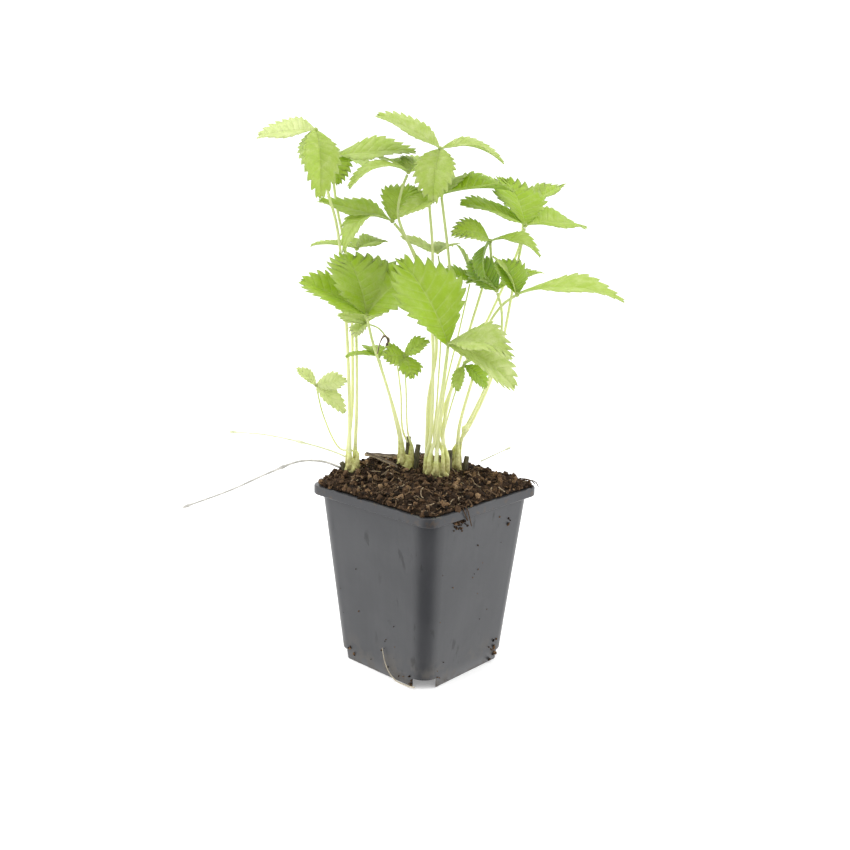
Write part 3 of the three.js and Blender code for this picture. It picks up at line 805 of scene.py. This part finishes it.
# Leaflets whose tone differs from their leaf's: the leaf, the leaflet's place in it and
# its tone, below 0 for the darkest. The tones below 0 are painted shade, for leaflets that
# lie in the shade of others; the high tones of the front leaf's second and third leaflets
# are painted light, against the dim light from the front.
LEAFLET_TONES_AND_SHADING = {
    ("top_left", 0): 0.85,
    ("upper_left", 1): 0.2,
    ("top", 2): 0.5,
    ("top_front", 0): 0.05,
    ("right_high", 2): 0.15,
    ("right_inner", 2): -0.35,
    ("right_front", 1): -0.2,
    ("right_low", 0): -0.4,
    ("right_low", 1): -0.3,
    ("inner_right", 0): 0.1,
    ("low_right", 1): -0.15,
    ("front", 0): 0.15,
    ("front", 1): 0.7,
    ("front", 2): 0.75,
}
# Old stubs: where each stands in the plant's frame, its height above the peat and its lean.
STUBS = {
    "main": [(13, 4.5, 12, 0.5)],
    "second": [(-10, 12, 16, 0.5), (-5.5, 6.5, 13.5, 1.5)],
    "left": [(-44, 3, 5, -2)],
    "right": [(22, 10, 8, 1)],
}


def plant_height(x, y):
    """The peat's height in millimetres at a place in the plant's frame."""
    place = from_plant(x, y, 0)
    return peat_height(place.x, place.y) / MM


def crown_top(crown):
    x, y, _ = CROWNS[crown]
    return plant_height(x, y) + CROWN_ABOVE


def lean_of(leaf):
    """Which way a leaf's stalk sets off from its crown."""
    x, y, _ = CROWNS[leaf[1]]
    first = leaf[5][0]
    return math.atan2(first[1] - y, first[0] - x)


def stalk_base(leaf):
    """Stalks stand evenly round a ring on their crown, in the order of the ways they lean."""
    x, y, radius = CROWNS[leaf[1]]
    family = sorted((other for other in LEAVES if other[1] == leaf[1]), key=lean_of)
    angle = lean_of(family[0]) + 2 * math.pi * family.index(leaf) / len(family)
    ring = radius - 2 * STALK_RADIUS
    return (x + ring * math.cos(angle), y + ring * math.sin(angle), crown_top(leaf[1]) + TOUCH_GAP)


def stalk_route(leaf):
    """The stalk's line from its crown to just short of its joint, in metres."""
    base = stalk_base(leaf)
    above = (base[0], base[1], base[2] + STRAIGHT_RISE)
    joint, last = Vector(leaf[4]), Vector(leaf[5][-1])
    end = joint - (joint - last).normalized() * (JOINT_RADIUS + TOUCH_GAP)
    route = [from_plant(*place) for place in (base, above, *leaf[5], end)]
    return smooth_route(route, ROUTE_STEP)


def crown_finish():
    """Fresh pale green at the top, brown and papery where the sheaths meet the peat."""
    finish = Finish("crown_tissue")
    share = finish.attribute("share")
    blotch = finish.noise(600.0, 4.0)
    green = finish.mixed(blotch.between(0.4, 0.7), (0.62, 0.65, 0.22), (0.76, 0.79, 0.36))
    brown = finish.mixed(blotch.between(0.35, 0.65), (0.40, 0.36, 0.13), (0.60, 0.58, 0.24))
    color = finish.mixed((share + blotch * 0.5 - 0.25).between(0.1, 0.75), brown, green)
    fibres = finish.streaks(2600.0, 160.0, 2.0)
    relief = finish.bump(fibres, 0.5, 0.0004)
    return finish.done(finish.solid(color, 0.6, relief))


def stub_finish():
    """Old cut stalks, dried dark brown with a green cast."""
    finish = Finish("old_stub")
    fibres = finish.streaks(2200.0, 200.0, 3.0)
    color = finish.mixed(fibres.between(0.35, 0.65), (0.045, 0.04, 0.022), (0.14, 0.125, 0.07))
    relief = finish.bump(fibres, 0.6, 0.0004)
    return finish.done(finish.solid(color, 0.85, relief))


def sheath(leaf, dice):
    """The papery wing at the foot of a stalk: a sleeve that narrows upward to two points."""
    route = stalk_route(leaf)
    radius = (YOUNG_STALK_RADIUS if leaf[2] else STALK_RADIUS) * MM
    height = dice.uniform(*SHEATH_HEIGHT) * MM
    count = max(4, int(height / ROUTE_STEP))
    line = np.vstack([route[0] - [0, 0, SHEATH_FOOT], route[:count]])
    shares = np.linspace(0, 1, len(line))
    widths = radius + (SHEATH_FLARE * (1 - shares) ** 1.2 + SHEATH_LIP) * MM
    return tube(line, widths, sides=10, ridges=0.12)


def crown_body(crown):
    """The short thick stem: a lumpy dome whose foot is in the peat."""
    x, y, radius = CROWNS[crown]
    middle = from_plant(x, y, crown_top(crown) - CROWN_ABOVE)
    vertices, faces = ball(4)
    for k, place in enumerate(vertices):
        lump = 1 + 0.22 * noise.noise(Vector(place) * 2.3 + Vector((x, y, 0)))
        spread = (radius - 0.4) * MM * lump
        vertices[k] = place * (spread, spread, CROWN_RISE) + np.array(middle)
    return vertices, faces, np.full(len(vertices), 0.35)


def crown_roots(crown):
    """Three main roots that go down from the crown through the peat."""
    x, y, radius = CROWNS[crown]
    top = crown_top(crown)
    parts = []
    for k in range(3):
        angle = 2 * math.pi * k / 3 + radius
        places = []
        for out, down in ((0.2, 4), (0.7, 37), (0.8, 75 + 6 * k)):
            inward = 1 - 0.25 * out
            px = x * inward + math.cos(angle) * radius * out
            py = y * inward + math.sin(angle) * radius * out
            places.append(from_plant(px, py, top - down))
        route = smooth_route(places, 3 * MM)
        parts.append(tube(route, np.linspace(1.1, 0.4, len(route)) * MM, 7))
    return parts


crown_tissue = crown_finish()
old_stub = stub_finish()
for crown in CROWNS:
    dice = random.Random(len(crown))
    parts = [crown_body(crown), *crown_roots(crown)]
    parts += [sheath(leaf, dice) for leaf in LEAVES if leaf[1] == crown]
    fresh_faces = sum(len(part[1]) for part in parts)
    for x, y, height, lean in STUBS[crown]:
        foot = plant_height(x, y)
        route = smooth_route([
            from_plant(x, y, foot - 3),
            from_plant(x + 0.4 * lean, y, foot + 0.5 * height),
            from_plant(x + lean, y + 0.3 * lean, foot + height),
        ], 1.5 * MM)
        parts.append(tube(route, np.linspace(*STUB_RADII, len(route)) * MM, 9, 0.14))
    made, faces, share = gathered(parts)
    piece = add_piece("crown_cluster_" + crown, made, faces, crown_tissue, old_stub, share=share)
    for face in piece.data.polygons[fresh_faces:]:
        face.material_index = 1
    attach(piece, "root")
    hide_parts("crown_" + crown)

# ----------------------------------------------------------------------- the leaf stalks
# Thin upright stalks, one to a leaf, pale yellow-green and soft with fine hairs. Each is
# thickest where it leaves its sheath and thins towards the joint of its leaflets.


def stalk_finish():
    finish = Finish("leaf_stalk")
    share = finish.attribute("share")
    pale = finish.streaks(900.0, 60.0, 3.0)
    low = finish.mixed(pale, (0.80, 0.82, 0.43), (0.90, 0.91, 0.62))
    high = finish.mixed(pale, (0.50, 0.60, 0.22), (0.68, 0.75, 0.38))
    color = finish.mixed(share.between(0.3, 0.95), low, high)
    groove = finish.streaks(3200.0, 120.0, 2.0)
    relief = finish.bump(groove, 0.2, 0.0003)
    solid = finish.solid(color, 0.5, relief)
    glow = finish.node("BsdfTranslucent", None, {"Color": (0.85, 0.88, 0.52)})
    return finish.done(finish.node("MixShader", None, {0: 0.35, 1: solid, 2: glow}))


# The height of the small node on a stalk that has one.
STALK_NODES = {"right_low": 130 * MM}
NODE_SWELLING = 1.5 * MM
NODE_SPREAD = 1.5 * MM

leaf_stalk = stalk_finish()
for leaf in LEAVES:
    name, young = leaf[0], leaf[2]
    route = stalk_route(leaf)
    radius = YOUNG_STALK_RADIUS if young else STALK_RADIUS
    shares = np.linspace(0, 1, len(route))
    widths = radius * (0.86 + 0.5 * (1 - shares) ** 2.5) * MM
    if name in STALK_NODES:
        away = (route[:, 2] - STALK_NODES[name]) / NODE_SPREAD
        widths += NODE_SWELLING * np.exp(-(away**2))
    made, faces, share = tube(route, widths, sides=10, ridges=0.08)
    piece = add_piece("petiole_" + name, made, faces, leaf_stalk, share=share)
    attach(piece, "root")
    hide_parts("stalk_" + name)

# ------------------------------------------------------------------------ the leaf blades
# Three leaflets to a leaf, joined at the top of the stalk. Each is a thin bright green
# blade folded along its midrib, coarsely toothed, and pleated up between its side veins.

BLADE_THICKNESS = 0.34 * MM
SIDE_VEIN_TIP = 0.72
BASE_HALF = 0.9 * MM
WAVE = 0.035
# Places across half a leaflet, from the midrib to the margin.
ACROSS = (0.0, 0.05, 0.16, 0.32, 0.5, 0.68, 0.84, 1.0)
# A tooth's outline: the share of the way from one tooth to the next, and how far the margin
# stands out there as a share of the tooth's depth.
TOOTH = {0.0: -0.35, 0.26: 0.18, 0.5: 0.52, SIDE_VEIN_TIP: 0.72, 0.86: 0.15}
TOOTH_LEAN = 0.55
# Young and grown leaflets: the teeth and gaps along an edge, how many of them are plain, the
# depth of the teeth as a share of the width, and the height of the pleats.
GROWTH = {True: (8, 2, 0.095, 0.32 * MM), False: (11, 3, 0.088, 0.5 * MM)}


def outline_width(x):
    """Half a leaflet's width along its length, as a share of its greatest."""
    x = np.clip(x, 0, 1)
    return np.sin(np.pi * x**1.16) ** 0.66


def margin_stations(length, half, cells):
    """Where the margin's cells start, evenly spaced along the edge, as shares of the length."""
    x = np.linspace(0, 1, 400)
    y = outline_width(x) * half
    gone = np.concatenate([[0], np.cumsum(np.hypot(np.diff(x) * length, np.diff(y)))])
    return np.interp(np.linspace(0, gone[-1], cells + 1), gone, x)


def leaflet(joint, tip, width, tilt, arch, fold, young, seed):
    """One leaflet's upper skin: its vertices, faces, and each vertex's vein and spread."""
    dice = random.Random(seed)
    along = from_plant(*tip)
    length = along.length
    along.normalize()
    flat = Vector((0, 0, 1))
    flat = (flat - along * flat.dot(along)).normalized()
    flat.rotate(Quaternion(along, math.radians(tilt)))
    side = along.cross(flat)
    half = width / 2 * MM
    cells, plain, depth, pleat = GROWTH[young]
    stations = margin_stations(length, half, cells)
    rows = []
    for cell in range(cells):
        grown = min(max((cell - plain) / 2 + 1, 0), 1)
        for phase, rise in TOOTH.items():
            place = stations[cell] + (stations[cell + 1] - stations[cell]) * phase
            rows.append((place, phase, rise * grown))
    rows.append((1.0, SIDE_VEIN_TIP, TOOTH[SIDE_VEIN_TIP]))
    edge, phases, teeth = np.array(rows).T
    teeth = teeth * depth * width * MM
    base_share = BASE_HALF / half
    width_here = np.maximum(outline_width(edge), np.where(edge < 0.5, base_share, 0.0)) * half
    slope = np.gradient(width_here, edge * length + 1e-9)
    out_x, out_y = -slope, np.ones_like(slope)
    size = np.hypot(out_x, out_y)
    out_x, out_y = out_x / size + TOOTH_LEAN, out_y / size
    out_x[-1], out_y[-1] = 1.0, 0.0
    # Where the side vein to each place on the margin leaves the midrib.
    roots = (1.8 - np.sqrt(np.maximum(3.24 - 3.2 * edge, 0))) / 1.6
    wave_phase = dice.uniform(0, 6.28)
    wave = WAVE * dice.uniform(0.6, 1.4) * width * MM
    twist = math.radians(dice.uniform(-5, 5))
    vertices, veins, spreads = [], [], []
    sides = [-t for t in reversed(ACROSS[1:])] + list(ACROSS)
    for row in range(len(edge)):
        between = math.sin(math.pi * ((phases[row] - SIDE_VEIN_TIP) % 1.0))
        for t in sides:
            a = abs(t)
            reach_x = edge[row] + teeth[row] * out_x[row] / length
            reach_y = width_here[row] + teeth[row] * out_y[row]
            bend = 0.7 * a + 0.3 * a * a
            x = roots[row] + (reach_x - roots[row]) * bend
            y = reach_y * a
            rise = math.radians(fold) * (1 - 0.35 * a)
            lift = arch * length * 4 * x * (1 - x)
            puff = pleat * between * (a**0.6) * (1 - a**4) * min(1.0, 4 * x)
            ripple = wave * math.sin(9 * x + wave_phase + (2.1 if t < 0 else 0)) * a * a
            lift += y * math.sin(rise) + puff + ripple
            sideways = math.copysign(y * math.cos(rise), t)
            turn = twist * x
            s = sideways * math.cos(turn) - lift * math.sin(turn) * 0.2
            lift += sideways * math.sin(turn)
            vertices.append(joint + along * (length * x) + side * s + flat * lift)
            is_side_vein = phases[row] == SIDE_VEIN_TIP
            veins.append(1.0 if t == 0 else (0.75 * (1 - 0.5 * a) if is_side_vein else 0.0))
            spreads.append(a)
    count = len(sides)
    faces = []
    for row in range(len(edge) - 1):
        for k in range(count - 1):
            a = row * count + k
            faces.append((a, a + 1, a + count + 1, a + count))
    return vertices, faces, veins, spreads


def blade_finish(name, shaded_dark, deep, fresh, pale, vein_color, see_through, roughness):
    """A leaf's skin: blotched green by the leaflet's tone, from a painted shade of dark green to
    pale, with its veins.
    """
    finish = Finish(name)
    tone = finish.attribute("tone")
    vein = finish.attribute("vein")
    spread = finish.attribute("spread")
    blotch = finish.noise(210.0, 4.0)
    fine = finish.noise(1400.0, 3.0)
    shade = tone + (blotch - 0.5) * 0.9 + (fine - 0.5) * 0.35
    # Painted shade: tones below 0 turn the leaflet towards the shaded dark green.
    color = finish.mixed(shade.between(-0.75, 0.1), shaded_dark, deep)
    color = finish.mixed(shade.between(0.0, 0.55), color, fresh)
    color = finish.mixed(shade.between(0.4, 1.1), color, pale)
    color = finish.mixed(spread.between(0.8, 1.0) * 0.3, color, pale)
    color = finish.mixed((vein**1.4) * 0.6, color, vein_color)
    net = finish.bump(finish.noise(1100.0, 2.0), 0.22, 0.0003)
    relief = finish.bump(1 - vein, 0.5, 0.0005, net)
    solid = finish.solid(color, roughness, relief)
    deep_glow = finish.node("BsdfTranslucent", None, {"Color": deep, "Normal": relief})
    pale_glow = finish.node("BsdfTranslucent", None, {"Color": pale, "Normal": relief})
    glow = finish.node("MixShader", None, {0: shade.between(0.0, 1.2), 1: deep_glow, 2: pale_glow})
    # Leaflets darkened by painted shade also let less light through.
    thin = see_through * (0.4 + 0.6 * shade.between(-0.75, 0.1))
    return finish.done(finish.node("MixShader", None, {0: thin, 1: solid, 2: glow}))


# Each skin's first colour is painted shade, for leaflets that lie in the shade of others.
upper_skin = blade_finish(
    "leaf_upper", (0.17, 0.33, 0.05), (0.41, 0.58, 0.03), (0.51, 0.63, 0.14), (0.75, 0.80, 0.44),
    (0.70, 0.78, 0.30), 0.5, 0.4
)
under_skin = blade_finish(
    "leaf_under", (0.24, 0.38, 0.13), (0.48, 0.60, 0.15), (0.57, 0.67, 0.27), (0.76, 0.81, 0.50),
    (0.76, 0.82, 0.48), 0.5, 0.6
)
for leaf in LEAVES:
    name, young, tone, joint = leaf[0], leaf[2], leaf[3], from_plant(*leaf[4])
    parts, spreads, tones_and_shading = [], [], []
    for index, (x, y, z, width, tilt, arch, fold) in enumerate(leaf[6]):
        seed = len(name) * 31 + index * 7 + int(width)
        made, faces, vein, spread = leaflet(joint, (x, y, z), width, tilt, arch, fold, young, seed)
        parts.append((made, faces, vein))
        spreads += spread
        # Each vertex carries its leaflet's tone, which for some leaflets is painted shade and for
        # the front leaf's second and third is painted light.
        tones_and_shading += [LEAFLET_TONES_AND_SHADING.get((name, index), tone)] * len(made)
    made, faces = ball(2)
    made = made * (YOUNG_JOINT_RADIUS if young else JOINT_RADIUS) * MM + np.array(joint)
    parts.append((made, faces, [1.0] * len(made)))
    spreads += [0.0] * len(made)
    tones_and_shading += [tone] * len(made)
    made, faces, vein = gathered(parts)
    piece = add_piece(
        "leaf_" + name, made, faces, upper_skin, under_skin,
        vein=vein, spread=spreads, tone=tones_and_shading,
    )
    joined = bmesh.new()
    joined.from_mesh(piece.data)
    bmesh.ops.remove_doubles(joined, verts=joined.verts, dist=0.01 * MM)
    joined.to_mesh(piece.data)
    joined.free()
    thick = piece.modifiers.new("thickness", "SOLIDIFY")
    thick.thickness = BLADE_THICKNESS
    thick.offset = -1.0
    thick.material_offset = 1
    thick.material_offset_rim = 0
    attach(piece, "root")
    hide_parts("blade_" + name)

# --------------------------------------------------------------------------- the runners
# Thin creeping stems that the plant sends out over the pot's rim: a long one that has
# dried grey, a pale green one above it and a short one to the right, with small nodes.

# Each runner in the plant's frame, in millimetres: its radius, its colour from 0, grey, to
# 1, green, its points, and the shares of its length where it has a node.
RUNNERS = {
    "runner_long": (0.713, 0.0, [
        (-47, 6, 107), (-56, 8, 109.5), (-69, 6, 110),
        (-85, 4, 104), (-107, 1, 94), (-132.5, -2, 84.5),
    ], (0.36, 0.97)),
    "runner_upper": (0.575, 0.85, [
        (-43, 9, 112), (-53, 12, 115), (-70, 14, 119), (-90, 15, 122.5), (-109, 14, 124),
    ], (0.42, 0.98)),
    "runner_right": (0.46, 0.6, [(31, 20, 108.5), (39, 22, 112), (48, 24, 116)], (0.95,)),
}
RUNNER_NODE = 0.5175
RUNNER_NODE_SPREAD = 1.6


def runner_finish():
    finish = Finish("runner_stem")
    green = finish.attribute("green")
    blotch = finish.noise(240.0, 4.0)
    dried = finish.mixed(blotch.between(0.35, 0.65), (0.42, 0.41, 0.38), (0.62, 0.60, 0.56))
    fresh = finish.mixed(blotch.between(0.35, 0.65), (0.70, 0.74, 0.44), (0.85, 0.88, 0.6))
    color = finish.mixed(green, dried, fresh)
    relief = finish.bump(finish.noise(1800.0, 3.0), 0.5, 0.0003)
    return finish.done(finish.solid(color, 0.6, relief))


runner_stem = runner_finish()
for name, (radius, green, points, nodes) in RUNNERS.items():
    route = smooth_route([from_plant(*place) for place in points], 1.2 * MM)
    shares = np.linspace(0, 1, len(route))
    widths = radius * (1 - 0.3 * shares)
    for share in nodes:
        away = (shares - share) * len(route) / RUNNER_NODE_SPREAD
        widths += RUNNER_NODE * np.exp(-(away**2))
    made, faces, _ = tube(route, widths * MM)
    piece = add_piece(name.replace("runner", "creeping_stem"), made, faces, runner_stem,
                      green=[green] * len(made))
    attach(piece, "root")
    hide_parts(name)

# ---------------------------------------------------------- dry stalks, bract and stray root
# Old leaf stalks that have dried and fallen on the peat, a curled dry bract caught among
# the stalks, and a root that has come out of the drain slot.

DRY_STALKS = {
    "dry_stalk_upper": (1.0, [(-34, 22, 110.5), (-26, 16, 112), (-18, 9, 113)]),
    "dry_stalk_lower": (0.9, [(-33, 13, 113.5), (-25, 8, 112), (-15, -1, 110)]),
    "dry_stalk_back": (0.9, [(-31, 30, 108), (-16, 25, 109.5)]),
    "curled_bract": (0.6, [
        (-26.2, -14.2, 174), (-24.8, -14.8, 180), (-22.6, -15, 183.5),
        (-20.4, -15, 181.5), (-21, -15, 178.2), (-18.6, -15, 176.4),
    ]),
}
ROOT_RADIUS = 0.4
ROOT_ROUTE = [
    (27.5, -34.8, 1.6), (24, -35, 1), (19, -34.8, 0.6), (13.5, -34.8, 0.7),
    (9, -35.2, 4), (6.4, -35.7, 9), (4.7, -36.3, 17),
]


def dry_stalk_finish():
    """Dark brown, split lengthwise into paler strips."""
    finish = Finish("dry_stalk")
    strips = finish.attribute("strip")
    grain = finish.noise(500.0, 4.0)
    color = finish.mixed(grain, (0.04, 0.028, 0.017), (0.13, 0.09, 0.055))
    color = finish.mixed(strips * grain.between(0.25, 0.5), color, (0.55, 0.45, 0.30))
    relief = finish.bump(grain, 0.6, 0.0004)
    return finish.done(finish.solid(color, 0.8, relief))


def root_finish():
    finish = Finish("stray_root")
    grain = finish.noise(700.0, 3.0)
    color = finish.mixed(grain, (0.34, 0.29, 0.21), (0.62, 0.56, 0.43))
    relief = finish.bump(grain, 0.5, 0.0003)
    return finish.done(finish.solid(color, 0.75, relief))


dry_stalk = dry_stalk_finish()
for name, (radius, points) in DRY_STALKS.items():
    route = smooth_route([from_plant(*place) for place in points], 1.0 * MM)
    shares = np.linspace(0, 1, len(route))
    widths = radius * (0.95 + 0.1 * np.sin(shares * 17)) * np.minimum(1, 6 * (1.08 - shares)) * MM
    if name == "curled_bract":
        widths *= 0.5 + 1.1 * np.clip(3 * shares - 1, 0, 1) * (0.75 + 0.35 * np.sin(shares * 40))
    made, faces, _ = tube(route, widths, sides=10, ridges=0.16)
    strip = [1.0 if k % 10 in (2, 3, 7) else 0.0 for k in range(len(made))]
    piece = add_piece("old_" + name, made, faces, dry_stalk, strip=strip)
    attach(piece, "root")
    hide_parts(name)

route = smooth_route([Vector(place) * MM for place in ROOT_ROUTE], 0.8 * MM)
widths = np.linspace(1.0, 0.45, len(route)) * ROOT_RADIUS * MM
made, faces, _ = tube(route, widths, 7)
root = add_piece("drain_root", made, faces, root_finish())
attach(root, "root")
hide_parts("stray_root")

# ---------------------------------------------------------------------------- the studio
# A pale floor under soft white light from all round, dimmer from the front so that the
# pot's front corner stays dark between its two lit sides.

CAMERA_TURN = PLANT_TURN
CAMERA_RISE = math.radians(12.9)
CAMERA_ROLL = math.radians(1.25)
CAMERA_DISTANCE = 559.3 * MM
AIM_RIGHT = -0.7 * MM
AIM_HEIGHT = 133.4 * MM
LENS = 43.87
FLOOR_RADIUS = 4
FLOOR_SIDES = 64
FLOOR_GAP = 0.1 * MM
FLOOR_GLOW = 0.22
SKY_STRENGTH = 1.36

back = Vector((
    math.sin(CAMERA_TURN) * math.cos(CAMERA_RISE),
    -math.cos(CAMERA_TURN) * math.cos(CAMERA_RISE),
    math.sin(CAMERA_RISE),
))
right = Vector((math.cos(CAMERA_TURN), math.sin(CAMERA_TURN), 0))
up = back.cross(right)
rolled_right = right * math.cos(CAMERA_ROLL) + up * math.sin(CAMERA_ROLL)
rolled_up = up * math.cos(CAMERA_ROLL) - right * math.sin(CAMERA_ROLL)
camera = bpy.data.objects.new("camera", bpy.data.cameras.new("camera"))
camera.data.lens = LENS
camera.data.sensor_width = 36
camera.data.clip_start = 0.01
camera.matrix_world = Matrix((rolled_right, rolled_up, back)).transposed().to_4x4()
camera.location = Vector((0, 0, AIM_HEIGHT)) + right * AIM_RIGHT + back * CAMERA_DISTANCE
bpy.context.collection.objects.link(camera)
bpy.context.scene.camera = camera
bpy.context.scene.view_settings.view_transform = "Standard"

floor_paint = Finish("floor_paper")
paper = floor_paint.noise(30.0, 2.0)
floor_color = floor_paint.mixed(paper, (0.9, 0.9, 0.9), (0.93, 0.93, 0.93))
floor_skin = floor_paint.done(floor_paint.node("BsdfPrincipled", None, {
    "Base Color": floor_color, "Roughness": 0.9,
    "Emission Color": (1.0, 1.0, 1.0), "Emission Strength": FLOOR_GLOW,
}))
floor_ring = []
for k in range(FLOOR_SIDES):
    angle = 2 * math.pi * k / FLOOR_SIDES
    floor_ring.append((FLOOR_RADIUS * math.cos(angle), FLOOR_RADIUS * math.sin(angle), -FLOOR_GAP))
floor = add_piece("floor", floor_ring, [tuple(range(FLOOR_SIDES))], floor_skin)
floor.visible_glossy = False

world = bpy.data.worlds.new("studio")
bpy.context.scene.world = world
world.use_nodes = True
sky = Finish("sky_recipe")
sky.tree = world.node_tree
sky.tree.nodes.clear()
direction = sky.node("TexCoord", output="Generated")
front = Vector((back.x, back.y, -0.34)).normalized()
dot = {"operation": "DOT_PRODUCT"}
facing = sky.node("VectorMath", dot, {0: direction, 1: tuple(front)}, "Value")
dim = facing.between(0.5, 0.93)
light = sky.mixed(dim, (1.0, 1.0, 1.0), (0.04, 0.04, 0.045))
seen = sky.node("LightPath", output="Is Camera Ray")
light = sky.mixed(seen, light, (1.0, 1.0, 1.0))
glow = sky.node("Background", None, {"Color": light, "Strength": SKY_STRENGTH})
sky.node("OutputWorld", None, {"Surface": glow})
bpy.data.materials.remove(sky.material)

# Two large soft lamps, from high on the left and from the right, both behind the front.
for name, place, power, width in (
    ("left_lamp", (-0.9, -0.5, 1.1), 9.0, 0.9),
    ("right_lamp", (0.9, 0.6, 1.0), 5.2, 0.9),
):
    lamp = bpy.data.objects.new(name, bpy.data.lights.new(name, "AREA"))
    lamp.data.energy = power
    lamp.data.size = width
    lamp.location = place
    aim = Vector((0, 0, 0.15)) - lamp.location
    lamp.rotation_euler = aim.to_track_quat("-Z", "Y").to_euler()
    bpy.context.collection.objects.link(lamp)
